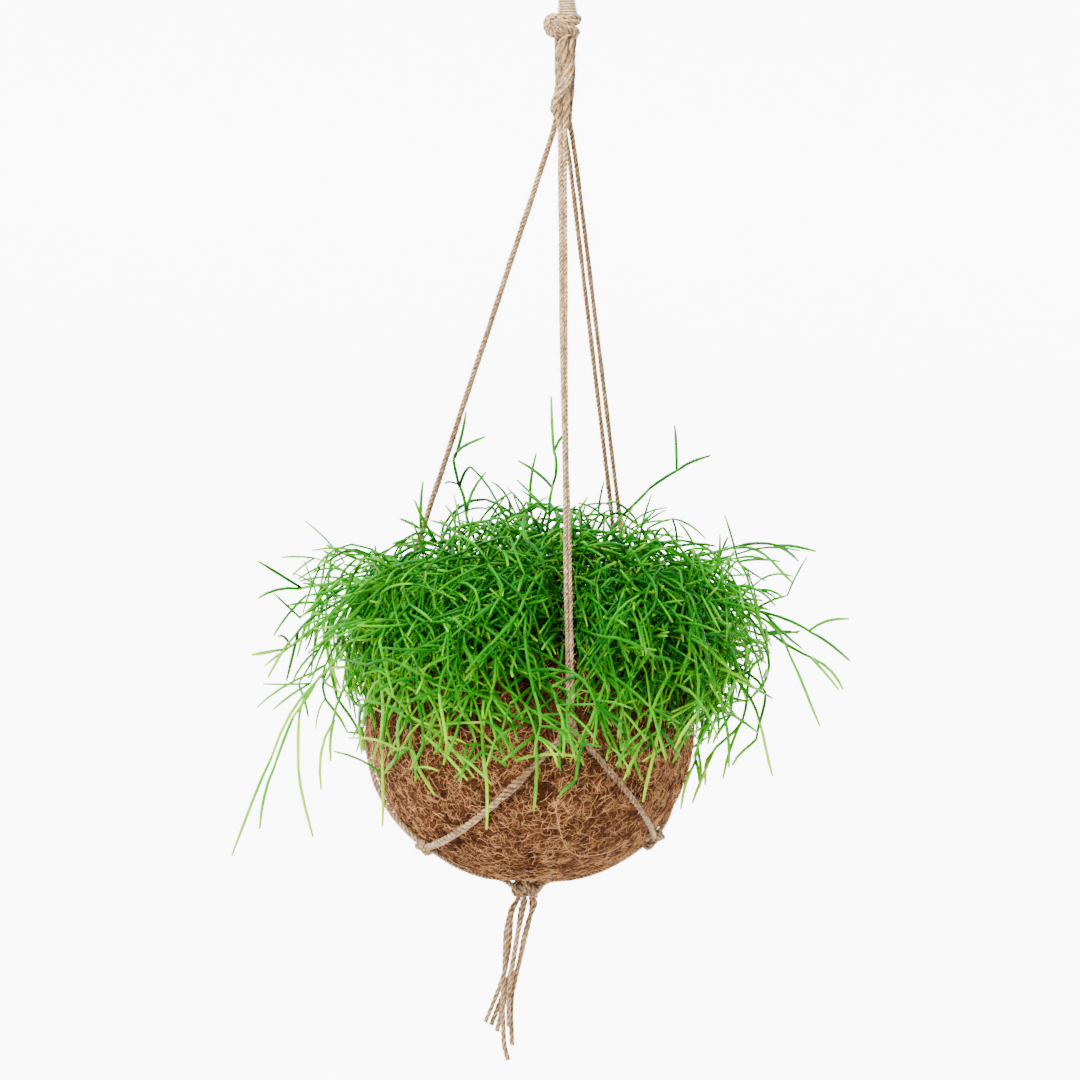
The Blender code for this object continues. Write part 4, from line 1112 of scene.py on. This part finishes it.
soil, soil_tree, soil_shader = fresh_material("soil", Roughness=0.95)
soil_place = new_node(soil_tree, "TexCoord").outputs["Object"]
soil_grain = noise(soil_tree, soil_place, Scale=260, Detail=8, Roughness=0.7)
soil_colour = colour_steps(soil_tree, soil_grain, [(0.35, SOIL_DARK), (0.7, SOIL_LIGHT)])
coloured(soil_tree, soil_shader, soil_colour, soil_grain, 1.0, 0.002)
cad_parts["soil_ball"].material_slots[0].material = soil


def soil_point(x, y):
    """The point on the soil's domed top over a place on the ball's plan."""
    edge = math.sqrt((BALL_RADIUS - COIR_WALL) ** 2 - SOIL_EDGE_HEIGHT ** 2)
    share = math.hypot(x, y) / edge
    height = SOIL_DOME_HEIGHT - (SOIL_DOME_HEIGHT - SOIL_EDGE_HEIGHT) * share
    return BALL_CENTRE + Vector((x, y, height))


crumb_draws = np.random.default_rng(5)
crumb_lines = []
for _ in range(CRUMBS):
    turn = crumb_draws.uniform(0, 2 * math.pi)
    away = math.sqrt(crumb_draws.uniform(0, 1)) * CRUMB_SPREAD
    spot = np.array(soil_point(away * math.cos(turn), away * math.sin(turn)))
    size = crumb_draws.uniform(*CRUMB_SIZES)
    lie = unit(crumb_draws.normal(0, 1, 3) * (1, 1, 0.4)) * size
    crumb_lines.append([spot + lie * share for share in (-1, -0.5, 0.4, 1)])
crumb_sizes = np.linalg.norm(np.diff(np.array(crumb_lines)[:, ::3], axis=1)[:, 0], axis=1)[:, None]
crumbs = piece_of("soil_crumbs", [tubes(
    crumb_lines, crumb_sizes * np.array((0.18, 0.42, 0.46, 0.15)), 6,
    crumb_draws.uniform(0, 1, CRUMBS))], soil)
settle(crumbs, "soil")


# The plant: slim round stems that fork again and again and arch over the ball, in sprays rooted in the
# soil. Each spray's first stem and its twigs lie where its solid has them, and finer twigs fill it out.
STEM_RADIUS = 0.00115
ROOT_DEPTH = 0.007
BALL_MARGIN = 0.0012
SEED = 41
# A spray's first stem is its leader: its spans, and how much more its curve and its tip are shaken with each
# try to find it room
LEADER_SPANS = 6
LEADER_TRIES = 240
HANDLE_SHAKE = 0.00012
TIP_SHAKE = 0.00004
SIDE_STEM_TRIES = 120
SIDE_STEM_SPANS = 3
SIDE_STEM_HANDLE = 0.35
# The twigs: how many and how long, the angles in degrees at which they fork, how they lean and droop
TWIGS_A_SPRAY = 20
TWIG_SHORTEST = 0.016
TWIG_LONGEST = 0.034
TWIG_SPREAD = (24, 74)
LEAN_OUT = 0.20
DROOP = 0.05
DROOP_A_FORK = 0.06
DROOP_FAR_OUT = 0.24
TIP_DROP = 0.010
TWIG_FREE_FROM = 0.007
TWIG_TRIES = 14
PLACE_TRIES = 3
PLACES_COMPARED = 3
FORK_SETBACKS = (0.0018, 0.0044)
# The dome that the twigs stay in: half its width, how far to the right it lies, its middle over the ball's
# centre, and its reach up and down from there
DOME_HALF_WIDTH = 0.128
DOME_SHIFT = 0.007
DOME_MIDDLE = 0.030
DOME_UP = 0.090
DOME_DOWN = 0.098
# Each spray: name, root x and y, tip x, y and height over the ball's centre, rise from the root, how far
# the stem comes in above its tip, and how far back towards the root; all in millimetres
SPRAYS = (
    ("left_high", (-48, 8), (-155, 12, 60), 45, 14, 42),
    ("left_low", (-62, -22), (-161, -45, -78), 52, 123, 36),
    ("left_middle", (-58, -6), (-146, -25, 19), 48, 55, 22),
    ("left_front", (-50, -38), (-113, -60, -38), 45, 80, 0),
    ("left_top", (-40, -14), (-78, 4, 108), 52, -8, 25),
    ("top_left", (-26, 4), (-49, 0, 145), 55, -35, 3),
    ("top_front", (-2, -14), (6, -18, 150), 50, -40, -2),
    ("top_right", (24, 6), (93, 15, 150), 70, -14, 35),
    ("top_back", (0, 24), (-8, 52, 118), 58, -10, 20),
    ("right_high", (46, 14), (154, 18, 99), 57, 9, 39),
    ("right_middle", (60, -8), (174, -15, 41), 47, 34, 39),
    ("right_side", (62, 14), (173, 25, 22), 40, 38, 28),
    ("right_low", (60, -28), (133, -40, -22), 42, 62, 8),
    ("right_front", (52, -40), (108, -66, -16), 40, 66, 2),
    ("front_right", (36, -50), (62, -74, -36), 40, 90, -34),
    ("front_middle", (6, -50), (3, -90, -42), 38, 92, -34),
    ("front_left", (-16, -60), (-22, -82, -54), 36, 96, -42),
    ("front_far_left", (-38, -52), (-79, -56, -57), 40, 95, -12),
    ("front_top", (12, -34), (34, -92, 62), 52, 34, 22),
    ("front_top_left", (-22, -32), (-52, -90, 58), 50, 38, 20),
    ("back_left", (-44, 36), (-108, 70, 8), 48, 62, 8),
    ("back_left_low", (-34, 52), (-62, 92, -40), 42, 100, -22),
    ("back", (-12, 54), (-20, 128, 10), 46, 62, 10),
    ("back_right_low", (24, 48), (34, 100, -36), 44, 98, -24),
    ("back_right", (52, 34), (112, 74, 6), 46, 62, 8),
)
# Long side stems of the sprays that reach furthest: spray, where they leave its leader, tip in millimetres
SIDE_STEMS = (
    ("left_low", 5, (-146, -52, -62)),
    ("left_low", 5, (-117, -44, -66)),
    ("right_high", 5, (141, 2, 82)),
    ("left_high", 3, (-118, 0, 92)),
    ("right_middle", 4, (158, -34, 6)),
)


class Room:
    """What the stems have to keep clear of: spans with a thickness and an owner, and the ball."""

    def __init__(self):
        self.starts = np.empty((0, 3))
        self.ends = np.empty((0, 3))
        self.radii = np.empty(0)
        self.owners = np.empty(0, int)

    def add(self, points, radius, owner):
        spans = list(zip(points, points[1:]))
        self.starts = np.vstack([self.starts, [tuple(a) for a, _ in spans]])
        self.ends = np.vstack([self.ends, [tuple(b) for _, b in spans]])
        self.radii = np.append(self.radii, [radius] * len(spans))
        self.owners = np.append(self.owners, [owner] * len(spans))

    def distances(self, start, end):
        """Distance between the middle lines of this span and of every span so far."""
        a = np.array(start)
        run = np.array(end) - a
        runs = self.ends - self.starts
        apart = a - self.starts
        own = run @ run
        others = (runs * runs).sum(1)
        lean = runs @ run
        on_others = (runs * apart).sum(1)
        on_own = apart @ run
        spread = np.maximum(own * others - lean ** 2, 1e-18)
        s = np.clip((lean * on_others - on_own * others) / spread, 0, 1)
        t = np.clip((lean * s + on_others) / others, 0, 1)
        s = np.clip((lean * t - on_own) / own, 0, 1)
        between = apart + s[:, None] * run - t[:, None] * runs
        return np.sqrt((between * between).sum(1))

    def is_free(self, points, owner, over_soil=False):
        """Whether a stem along the points is clear of the cords, the other sprays and the ball."""
        for start, end in zip(points, points[1:]):
            if not over_soil and not clear_of_ball(start, end):
                return False
            clear = self.distances(start, end) - self.radii - STEM_RADIUS
            if (clear[self.owners != owner] < 2 * GAP).any():
                return False
        return True


def clear_of_ball(start, end):
    """Whether a stem between these points stays off the ball, up to the wrap's rim."""
    margin = STEM_RADIUS + BALL_MARGIN
    for share in (0.25, 0.5, 0.75, 1.0):
        spot = start.lerp(end, share) - BALL_CENTRE
        around = math.hypot(spot.x, spot.y)
        if spot.z < RIM_HEIGHT + margin:
            if around < ball_radius_at(spot.z) + margin:
                return False
    return True


def leader_route(root, tip, rise, hang, back, shake):
    """The spray's first stem: up from its root, over, and out to its tip."""
    outward = Vector((tip.x - root.x, tip.y - root.y, 0)).normalized()
    first = root + UP * rise + shake[0]
    second = tip + UP * hang - outward * back + shake[1]
    points = []
    for step in range(LEADER_SPANS + 1):
        t = step / LEADER_SPANS
        rising = root * (1 - t) ** 3 + first * 3 * t * (1 - t) ** 2
        falling = second * 3 * t ** 2 * (1 - t) + tip * t ** 3
        points.append(rising + falling)
    return points


def shaken(rng, amount):
    return Vector((rng.uniform(-1, 1), rng.uniform(-1, 1), rng.uniform(-1, 1))) * amount


def grow_leader(room, rng, owner, spray):
    """Bend a leader until it is clear of the other sprays; its first two spans rise inside the rim."""
    _, root, tip, rise, hang, back = spray
    base = soil_point(root[0] / 1000, root[1] / 1000)
    target = BALL_CENTRE + Vector(tip) / 1000
    for attempt in range(LEADER_TRIES):
        shake = [shaken(rng, attempt * HANDLE_SHAKE), shaken(rng, attempt * HANDLE_SHAKE)]
        aim = target + shaken(rng, attempt * TIP_SHAKE)
        points = leader_route(base, aim, rise / 1000, hang / 1000, back / 1000, shake)
        if room.is_free(points[:3], owner, over_soil=True) and room.is_free(points[2:], owner):
            return [base - UP * ROOT_DEPTH, *points]
    return None


def in_dome(point):
    """Whether a point lies in the plant's dome."""
    spot = point - BALL_CENTRE
    level = spot.z - DOME_MIDDLE
    half_height = DOME_UP if level > 0 else DOME_DOWN
    share = math.hypot(spot.x - DOME_SHIFT, spot.y) / DOME_HALF_WIDTH
    return share ** 2 + (level / half_height) ** 2 < 1


def within_reach(place, end, tip):
    """Whether a single fork of the leader may end there: near its tip, and no further out or down."""
    if place["generation"] > 0 or place["forks"] > 0:
        return False
    if (end - tip).length > TWIG_LONGEST or end.z < tip.z - TIP_DROP:
        return False
    return math.hypot(end.x, end.y) < math.hypot(tip.x, tip.y)


def forked(rng, tangent, place, spread, cap, droop, droop_out):
    """A direction that forks from the stem by an angle in the spread, leans outwards and droops far out."""
    across = tangent.orthogonal().normalized()
    across.rotate(Matrix.Rotation(rng.uniform(0, 2 * math.pi), 3, tangent))
    fork = math.radians(rng.uniform(*spread))
    direction = tangent * math.cos(fork) + across * math.sin(fork)
    outward = Vector((place.x, place.y, 0))
    reach = min(cap, outward.length / BALL_RADIUS)
    direction += outward.normalized() * LEAN_OUT * reach
    direction -= UP * (droop + droop_out * reach ** 2)
    return direction.normalized()


def grow_twig(room, rng, owner, place, leader_tip):
    """The best of several tries at a twig: clear of the rest, and out where there is most room."""
    best = None
    best_space = 0
    start = place["point"]
    droop = DROOP + DROOP_A_FORK * place["generation"]
    for _ in range(TWIG_TRIES):
        length = rng.uniform(TWIG_SHORTEST, TWIG_LONGEST)
        direction = forked(rng, place["tangent"], start - BALL_CENTRE, TWIG_SPREAD, 1, droop, DROOP_FAR_OUT)
        end = start + direction * length
        if not in_dome(end) and not within_reach(place, end, leader_tip):
            continue
        if not room.is_free([start, end], owner):
            continue
        space = room.distances(start + direction * TWIG_FREE_FROM, end).min()
        if space < 2 * STEM_RADIUS + GAP:
            continue
        space += room.distances(start.lerp(end, 0.6), end).min()
        if space > best_space:
            best = end
            best_space = space
    return best, best_space


def leader_frontier(leader):
    """Places on the leader where twigs can fork, each a dictionary that says what can still grow there."""
    places = []
    for joint in range(2, len(leader)):
        tangent = (leader[joint] - leader[joint - 1]).normalized()
        at_end = joint == len(leader) - 1
        places.append(growing_place(leader[joint], tangent, 0, 0, at_end))
    return places


def growing_place(point, tangent, generation, stem, at_end):
    return {"point": point, "tangent": tangent, "generation": generation,
            "stem": stem, "at_end": at_end, "forks": 0, "tries": PLACE_TRIES}


def grow_one(room, rng, owner, stems, frontier, leader_tip):
    """Grow one more twig: it carries on the stem whose end it starts from, or forks off beside it."""
    best = None
    for _ in range(4 * PLACES_COMPARED):
        open_places = [place for place in frontier if place["tries"] > 0]
        if not open_places:
            return
        place = rng.choice(open_places)
        end, space = grow_twig(room, rng, owner, place, leader_tip)
        if end is None:
            place["tries"] -= 1
            continue
        if best is None or space > best[2]:
            best = (place, end, space)
            compared = 1
        else:
            compared += 1
        if compared == PLACES_COMPARED:
            break
    if best is None:
        return
    place, end, _ = best
    start = place["point"]
    room.add([start, end], STEM_RADIUS, owner)
    if place["at_end"]:
        stem = place["stem"]
        stems[stem].append(end)
        place["at_end"] = False
    else:
        stem = len(stems)
        stems.append([start - place["tangent"] * FORK_SETBACKS[place["forks"]], end])
        place["forks"] += 1
        if place["forks"] == len(FORK_SETBACKS):
            place["tries"] = 0
    tangent = (end - start).normalized()
    frontier.append(growing_place(end, tangent, place["generation"] + 1, stem, True))


def grow_side_stem(room, rng, owner, start, end, along):
    """A long side stem that leaves its leader along its run and bends to its own tip."""
    tangent = along.normalized()
    for attempt in range(SIDE_STEM_TRIES):
        reach = (end - start).length * SIDE_STEM_HANDLE
        handle = start + tangent * reach + shaken(rng, attempt * HANDLE_SHAKE)
        points = []
        for step in range(SIDE_STEM_SPANS + 1):
            t = step / SIDE_STEM_SPANS
            points.append(start * (1 - t) ** 2 + handle * 2 * t * (1 - t) + end * t ** 2)
        away = [points[0].lerp(points[1], 0.2), *points[1:]]
        if room.is_free(away, owner):
            return [start - tangent * FORK_SETBACKS[0], *points[1:]]
    return None


room = Room()
for name, route in [*strands.items(), *net.items()]:
    if not name.startswith("under"):
        room.add(route, CORD / 2, -1)
for centre in [*upper.values(), *lower.values()]:
    room.add([centre, centre + UP * GAP], KNOT_REACH, -1)
rng = random.Random(SEED)
stems, leaders, tips = [], [], []
for owner, spray in enumerate(SPRAYS):
    leader = grow_leader(room, rng, owner, spray)
    room.add(leader, STEM_RADIUS, owner)
    leaders.append(leader)
    tips.append(leader[-1])
    stems.append([list(leader)])
spray_names = [spray[0] for spray in SPRAYS]
for name, joint, tip in SIDE_STEMS:
    owner = spray_names.index(name)
    start = leaders[owner][joint]
    end = BALL_CENTRE + Vector(tip) / 1000
    side_stem = grow_side_stem(room, rng, owner, start, end, start - leaders[owner][joint - 1])
    if side_stem:
        room.add(side_stem, STEM_RADIUS, owner)
        stems[owner].append(side_stem)
frontiers = [leader_frontier(leader) for leader in leaders]
for _ in range(TWIGS_A_SPRAY):
    for owner in range(len(SPRAYS)):
        grow_one(room, rng, owner, stems[owner], frontiers[owner], tips[owner])


# The finer twigs that fill each spray out: short, a little thinner, in the room that is left, forking from
# every joint of the stems above. They are what hides the inside of the plant.
FINE_TWIGS = 95
FINE_SHORTEST = 0.013
FINE_LONGEST = 0.036
FINE_SPREAD = (22, 80)
FINE_DROOP = 0.02
FINE_DROOP_OUT = 0.17
FINE_TRIES = 6
FINE_PLACE_TRIES = 6
FINE_FREE_FROM = 0.004
FINE_CLEAR = 0.0009
FINE_FORKS = 3
# The dome that they fill is a little slimmer than the plant's, with squarer edges; it reaches further down
# at the front than at the sides, and less at the right. A few of them reach out of it
FINE_HALF_WIDTH = 0.100
FINE_SHIFT = 0.010
FINE_UP = 0.078
FINE_DOWN = (0.062, 0.088)
FINE_DOWN_LESS = 0.008
FINE_SQUARE = 2.5
FINE_PAST_BOX = 0.004
# How low the drape hangs, from left to right: place along X and height over the ball's centre
DRAPE_LINE = ((-0.140, -0.034), (-0.075, -0.036), (-0.020, -0.044), (0.004, -0.026), (0.090, -0.020),
              (0.108, 0.0), (0.140, 0.040))
DRAPE_SLACK = 0.016
# How far out of that dome a twig may end: share of the twigs so far, then the least and most of the limit
FINE_EDGES = ((0.50, 0.60, 0.95), (0.80, 0.95, 1.45), (1.0, 1.45, 2.5))
# The front pair of strands lies over the plant: how wide it is kept clear, and from how high over its knot
FRONT_CLEAR = 0.0030
FRONT_HIDDEN = 0.020
TWIG_THICK = 0.00075


def fine_direction(rng, tangent, place):
    """A direction that forks widely from the stem, and only hangs where it is far out."""
    return forked(rng, tangent, place, FINE_SPREAD, 1.2, FINE_DROOP, FINE_DROOP_OUT)


def fine_share(point):
    """Where a point lies in the dome of the finer twigs, which hangs lowest at the front."""
    spot = point - BALL_CENTRE
    level = spot.z - DOME_MIDDLE
    around = max(1e-6, math.hypot(spot.x, spot.y))
    side = FINE_DOWN[0] - FINE_DOWN_LESS * spot.x / around
    down = side + (FINE_DOWN[1] - side) * max(0, -spot.y / around) ** 2
    share = math.hypot(spot.x - FINE_SHIFT, spot.y) / FINE_HALF_WIDTH
    return share ** FINE_SQUARE + abs(level / (FINE_UP if level > 0 else down)) ** FINE_SQUARE


front_line = np.array([tuple(a.lerp(b, 0.5)) for a, b in zip(
    shown_strands["strand_front_a"], shown_strands["strand_front_b"])])[::-1]


def front_pair_at(height):
    """Where the front pair of strands hangs at a height: x and y."""
    return (float(np.interp(height, front_line[:, 2], front_line[:, axis])) for axis in (0, 1))


def past_depth(point):
    """Whether a point lies too far in front of or behind the solids."""
    return not cad_box[0][1] - FINE_PAST_BOX < point.y < cad_box[1][1] + FINE_PAST_BOX


def below_drape(point, slack):
    """Whether a point hangs below the line that the plant's drape keeps to, less its own slack."""
    spot = point - BALL_CENTRE
    return spot.z < np.interp(spot.x, *zip(*DRAPE_LINE)) + slack


def veils_front_pair(start, end):
    """Whether a twig would hang in front of the front pair, which lies over the plant."""
    for share in (0, 0.2, 0.4, 0.6, 0.8, 1):
        spot = start.lerp(end, share)
        x, y = front_pair_at(spot.z)
        if spot.z > front_line[0, 2] + FRONT_HIDDEN and spot.y < y and abs(spot.x - x) < FRONT_CLEAR:
            return True
    return False


def hangs_free(start, end, slack):
    """Whether a twig keeps off the ball and the front pair, above the drape's line and within the depth."""
    if past_depth(end) or below_drape(end, slack):
        return False
    return clear_of_ball(start, end) and not veils_front_pair(start, end)


def grow_fine_twig(room, rng, place):
    """The roomiest of a few tries, through no cord and not into the ball; it may brush other stems."""
    best = None
    best_space = 0
    start = place["point"]
    draw = rng.random()
    edge = next(rng.uniform(least, most) for share, least, most in FINE_EDGES if draw <= share)
    slack = rng.uniform(0, DRAPE_SLACK)
    for _ in range(FINE_TRIES):
        length = rng.uniform(FINE_SHORTEST, FINE_LONGEST)
        direction = fine_direction(rng, place["tangent"], start - BALL_CENTRE)
        end = start + direction * length
        if fine_share(end) > edge or not hangs_free(start, end, slack):
            continue
        apart = room.distances(start + direction * FINE_FREE_FROM, end)
        if (apart[room.owners < 0] - room.radii[room.owners < 0] < 2 * STEM_RADIUS).any():
            continue
        space = apart.min()
        if space > FINE_CLEAR and space > best_space:
            best = end
            best_space = space
    return best


fine_rng = random.Random(SEED + 1)
fine_twigs = [[] for _ in SPRAYS]
fine_places = []
for owner, frontier in enumerate(frontiers):
    fine_places.append([dict(place, forks=0) for place in frontier])
for _ in range(FINE_TWIGS):
    for owner in range(len(SPRAYS)):
        for _ in range(FINE_PLACE_TRIES):
            place = fine_rng.choice(fine_places[owner])
            if place["forks"] >= FINE_FORKS:
                continue
            end = grow_fine_twig(room, fine_rng, place)
            if end is None:
                continue
            start = place["point"]
            place["forks"] += 1
            room.add([start, end], TWIG_THICK, owner)
            fine_twigs[owner].append([start, end])
            tangent = (end - start).normalized()
            fine_places[owner].append(growing_place(end, tangent, place["generation"] + 1, 0, True))
            break


# The curtain: stems that root at the rim of the wrap, arch over it and hang close before its upper half,
# each of a few joints that turn this way and that, with a side twig at most of them.
# Long flyers reach out of the plant in the same way.
CURTAIN_STEMS = 660
CURTAIN_BACK = 0.55
# This share of them hangs at the left, short of this turn
CURTAIN_LEFT = 0.14
CURTAIN_LEFT_TURN = -1.7
# How many joints they have, at the front and elsewhere
CURTAIN_FRONT_COUNTS = (3, 4, 4, 5)
CURTAIN_COUNTS = (2, 3, 3, 4)
CURTAIN_FRONT = -0.3
CURTAIN_ROOT = (0.060, 0.076)
# Each joint: least and most distance from the ball's axis and height over its centre, in millimetres
CURTAIN_JOINTS = ((80, 95, 60, 86), (93, 110, 46, 72), (96, 116, 24, 54), (95, 110, 4, 34), (95, 104, -40, 8))
# The long stems that fly out of the dome, in the same way
FLYERS = 120
FLYER_JOINTS = ((72, 90, 50, 80), (104, 120, 50, 92), (122, 142, 18, 84), (128, 150, -6, 44))
FLYER_DEPTH = 0.84
FLYER_SIDES = 0.5
# How the curtain lies: lifted at the right, tight at the left, swinging aside at each joint, most joints
# near their least distance; then how far out its side twigs may end, and how often they grow
CURTAIN_LIFT = 0.006
CURTAIN_TIGHT = 0.005
CURTAIN_SWING = 0.046
CURTAIN_NEAR = 1.8
CURTAIN_OUT = 1.3
CURTAIN_FORKS = 0.62

curtain_rng = random.Random(SEED + 4)
curtain_twigs = [[] for _ in SPRAYS]
spray_turns = [math.atan2(spray[2][1], spray[2][0]) for spray in SPRAYS]
for number in range(CURTAIN_STEMS + FLYERS):
    flies = number >= CURTAIN_STEMS
    turn = curtain_rng.uniform(-math.pi, math.pi)
    if flies and abs(math.cos(turn)) < FLYER_SIDES:
        continue
    if curtain_rng.random() < CURTAIN_LEFT:
        turn = curtain_rng.uniform(-math.pi, CURTAIN_LEFT_TURN)
    if turn > 0 and curtain_rng.random() > CURTAIN_BACK:
        continue
    at_front = math.sin(turn) < CURTAIN_FRONT and not flies
    joints = curtain_rng.choice(CURTAIN_FRONT_COUNTS if at_front else CURTAIN_COUNTS)
    radius = curtain_rng.uniform(*CURTAIN_ROOT)
    points = [soil_point(radius * math.cos(turn), radius * math.sin(turn))]
    swing = 0.0
    for nearest, furthest, lowest, highest in (FLYER_JOINTS if flies else CURTAIN_JOINTS)[:joints]:
        radius = (nearest + (furthest - nearest) * curtain_rng.random() ** CURTAIN_NEAR) / 1000
        radius -= 0 if flies else CURTAIN_TIGHT * max(0, -math.cos(turn))
        swing += curtain_rng.uniform(-CURTAIN_SWING, CURTAIN_SWING) / radius
        height = curtain_rng.uniform(lowest, highest) / 1000 + CURTAIN_LIFT * max(0, math.cos(turn + 0.5))
        depth = FLYER_DEPTH if flies else 1
        points.append(BALL_CENTRE + Vector((
            radius * math.cos(turn + swing), radius * depth * math.sin(turn + swing), height)))
    spans = list(zip(points[1:], points[2:]))
    slack = curtain_rng.uniform(0, DRAPE_SLACK)
    if any(veils_front_pair(start, end) or not clear_of_ball(start, end) for start, end in spans):
        continue
    if below_drape(points[-1], slack):
        continue
    away = [abs(math.remainder(spray_turn - turn, math.tau)) for spray_turn in spray_turns]
    owner = away.index(min(away))
    curtain_twigs[owner].append(points)
    for start, end in [*spans, *spans]:
        way = fine_direction(curtain_rng, (end - start).normalized(), end - BALL_CENTRE)
        side_end = end + way * curtain_rng.uniform(FINE_SHORTEST, FINE_LONGEST)
        grows = curtain_rng.random() < CURTAIN_FORKS and (flies or fine_share(side_end) < CURTAIN_OUT)
        if grows and hangs_free(end, side_end, slack):
            curtain_twigs[owner].append([end, side_end])


# The old inner twigs, deep inside the plant: they cross one another every way and shut out the light. They
# fork from any of the stems above.
INNER_TWIGS = 190
INNER_LENGTHS = (0.014, 0.036)
INNER_SHARE = 0.85

inner_rng = random.Random(SEED + 3)
inner_twigs = [[] for _ in SPRAYS]
for owner in range(len(SPRAYS)):
    grown = [*stems[owner], *fine_twigs[owner], *curtain_twigs[owner]]
    spans = [span for points in grown for span in zip(points, points[1:])]
    for _ in range(INNER_TWIGS):
        start, end = inner_rng.choice(spans)
        start = start.lerp(end, inner_rng.uniform(0.2, 0.9))
        tangent = (end - start).normalized()
        way = fine_direction(inner_rng, tangent, start - BALL_CENTRE)
        end = start + way * inner_rng.uniform(*INNER_LENGTHS)
        if fine_share(end) < INNER_SHARE and clear_of_ball(start, end) and not veils_front_pair(start, end):
            inner_twigs[owner].append([start, end])
            spans.append((start, end))


# Stem skin: smooth waxy green, darkened by painted shade deep inside the plant and yellower outside, each
# stem its own shade, with painted shade at its base and painted light at its end; a pale growing tip on
# the youngest ones. Each spray is one mesh, with its own stems and twigs in it.
STEM_THICK = 0.00092
INNER_THICK = 0.00070
STEM_SIDES = 5
STEM_RINGS = 5
INNER_SIDES = 4
STEM_SAG = (-0.02, 0.10)
STEM_SHAKE = 0.04
# Stems are moved back behind the front pair from this height on, where they are within reach of it
TUCK_FROM = 0.046
TUCK_FADE = 0.008
TUCK_BEHIND = 0.0030
TUCK_REACH = 0.016
# A stem's shade: painted shade deep inside the plant, then what is added outside, low down, at the sides
# and by chance
PAINTED_SHADE_INSIDE = -0.20
LESS_SHADE_OUTSIDE = 0.28
SHADE_LOW = 0.34
SHADE_ASIDE = 0.18
SHADE_CHANCE = (-0.16, 0.30)
# Painted shade at the base of each stem and painted light towards its end: how much either way
STEM_BASE_SHADE_TIP_LIGHT = 0.12
STEM_GREENS = [
    (0.00, (0.001, 0.050, 0.001)),
    (0.25, (0.002, 0.095, 0.001)),
    (0.50, (0.009, 0.180, 0.001)),
    (0.75, (0.070, 0.370, 0.001)),
    (1.00, (0.380, 0.680, 0.001)),
]
STEM_TIP = (0.34, 0.54, 0.02, 1)

cactus_stem, stem_tree, stem_shader = fresh_material(
    "cactus_stem", Roughness=0.45, Specular_IOR_Level=0.08)
stem_place = new_node(stem_tree, "TexCoord").outputs["Object"]
mottle = noise(stem_tree, stem_place, Scale=120, Detail=1, Roughness=0.6)
stem_level = figured(stem_tree, "MULTIPLY_ADD", mottle, 0.24, attribute(stem_tree, "shade"))
stem_green = colour_steps(stem_tree, stem_level, STEM_GREENS)
stem_colour = blend(stem_tree, "MIX", attribute(stem_tree, "tip"), stem_green, STEM_TIP)
coloured(stem_tree, stem_shader, stem_colour, mottle, 0.15, 0.0003)


def tucked(point):
    """The point, moved back behind the front pair where a stem would pass in front of it and has room."""
    x, y = front_pair_at(point.z)
    aside = abs(point.x - x)
    if point.z - BALL_CENTRE.z < TUCK_FROM or point.y > y + TUCK_BEHIND or aside > TUCK_REACH:
        return point
    near = 1 - aside / TUCK_REACH
    amount = near * near * (3 - 2 * near) * min(1, (point.z - BALL_CENTRE.z - TUCK_FROM) / TUCK_FADE)
    return point + Vector((0, (y + TUCK_BEHIND - point.y) * min(1, 1.6 * amount), 0))


def arched(before, start, end, after, arch):
    """Ring points of one stem between two joints, carrying on smoothly from its neighbours."""
    rings = []
    for ring in range(STEM_RINGS):
        t = ring / (STEM_RINGS - 1)
        point = on_curve(before, start, end, after, t)
        rings.append(tucked(point + arch * 4 * t * (1 - t)))
    return rings


def stem_rows(points, radius, rng):
    """Lines, radii, shades and tips of a chain of stems, one for each span between its joints."""
    rows = []
    spans = with_neighbours(points)
    for index, (before, start, end, after) in enumerate(spans):
        run = end - start
        across = run.cross(UP).cross(run)
        if across.length > 1e-9:
            across.normalize()
        sag = rng.uniform(*STEM_SAG) * run.length
        arch = across * sag + shaken(rng, STEM_SHAKE * run.length)
        is_last = index == len(spans) - 1
        outside = min(1, max(0, (fine_share((start + end) / 2) - 0.35) / 0.8))
        low = min(1, max(0, (0.045 - (start.z + end.z) / 2 + BALL_CENTRE.z) / 0.06))
        aside = min(1, abs(start.x - FINE_SHIFT) / 0.115) ** 2
        shade = PAINTED_SHADE_INSIDE + LESS_SHADE_OUTSIDE * outside ** 1.3 + SHADE_LOW * low + SHADE_ASIDE * aside
        shade += rng.uniform(*SHADE_CHANCE)
        pinch = np.array((0.85, 1.0, 1.0, 0.95, 0.60 if is_last else 0.84))
        tip = np.array((0, 0, 0, 0.08, 0.9)) * (rng.uniform(0.0, 0.5) if is_last else 0.08)
        # Painted shade at the stem's base, painted light towards its end
        shade = shade + STEM_BASE_SHADE_TIP_LIGHT * np.linspace(-1, 1, STEM_RINGS) + 0.10 * is_last
        rows.append((arched(before, start, end, after, arch), radius * pinch, shade, tip))
    return rows


def stem_tubes(rows, sides, step):
    """The tubes of those rows, with all of their rings or every second one."""
    lines, radii, shades, tips = (
        np.array([row[part] for row in rows])[:, ::-step][:, ::-1] for part in range(4))
    return tubes(lines, radii, sides, shades, tips=tips)


shape_rng = random.Random(SEED + 2)
for owner, name in enumerate(spray_names):
    rows = []
    for points in stems[owner]:
        rows += stem_rows(points, STEM_THICK, shape_rng)
    for points in [*fine_twigs[owner], *curtain_twigs[owner]]:
        rows += stem_rows(points, TWIG_THICK * shape_rng.uniform(0.80, 1.12), shape_rng)
    inner_rows = [row for points in inner_twigs[owner] for row in stem_rows(points, INNER_THICK, shape_rng)]
    groups = [stem_tubes(rows, STEM_SIDES, 1), stem_tubes(inner_rows, INNER_SIDES, 2)]
    settle(piece_of("cactus_" + name, groups, cactus_stem), "stem_green", "stems_" + name)
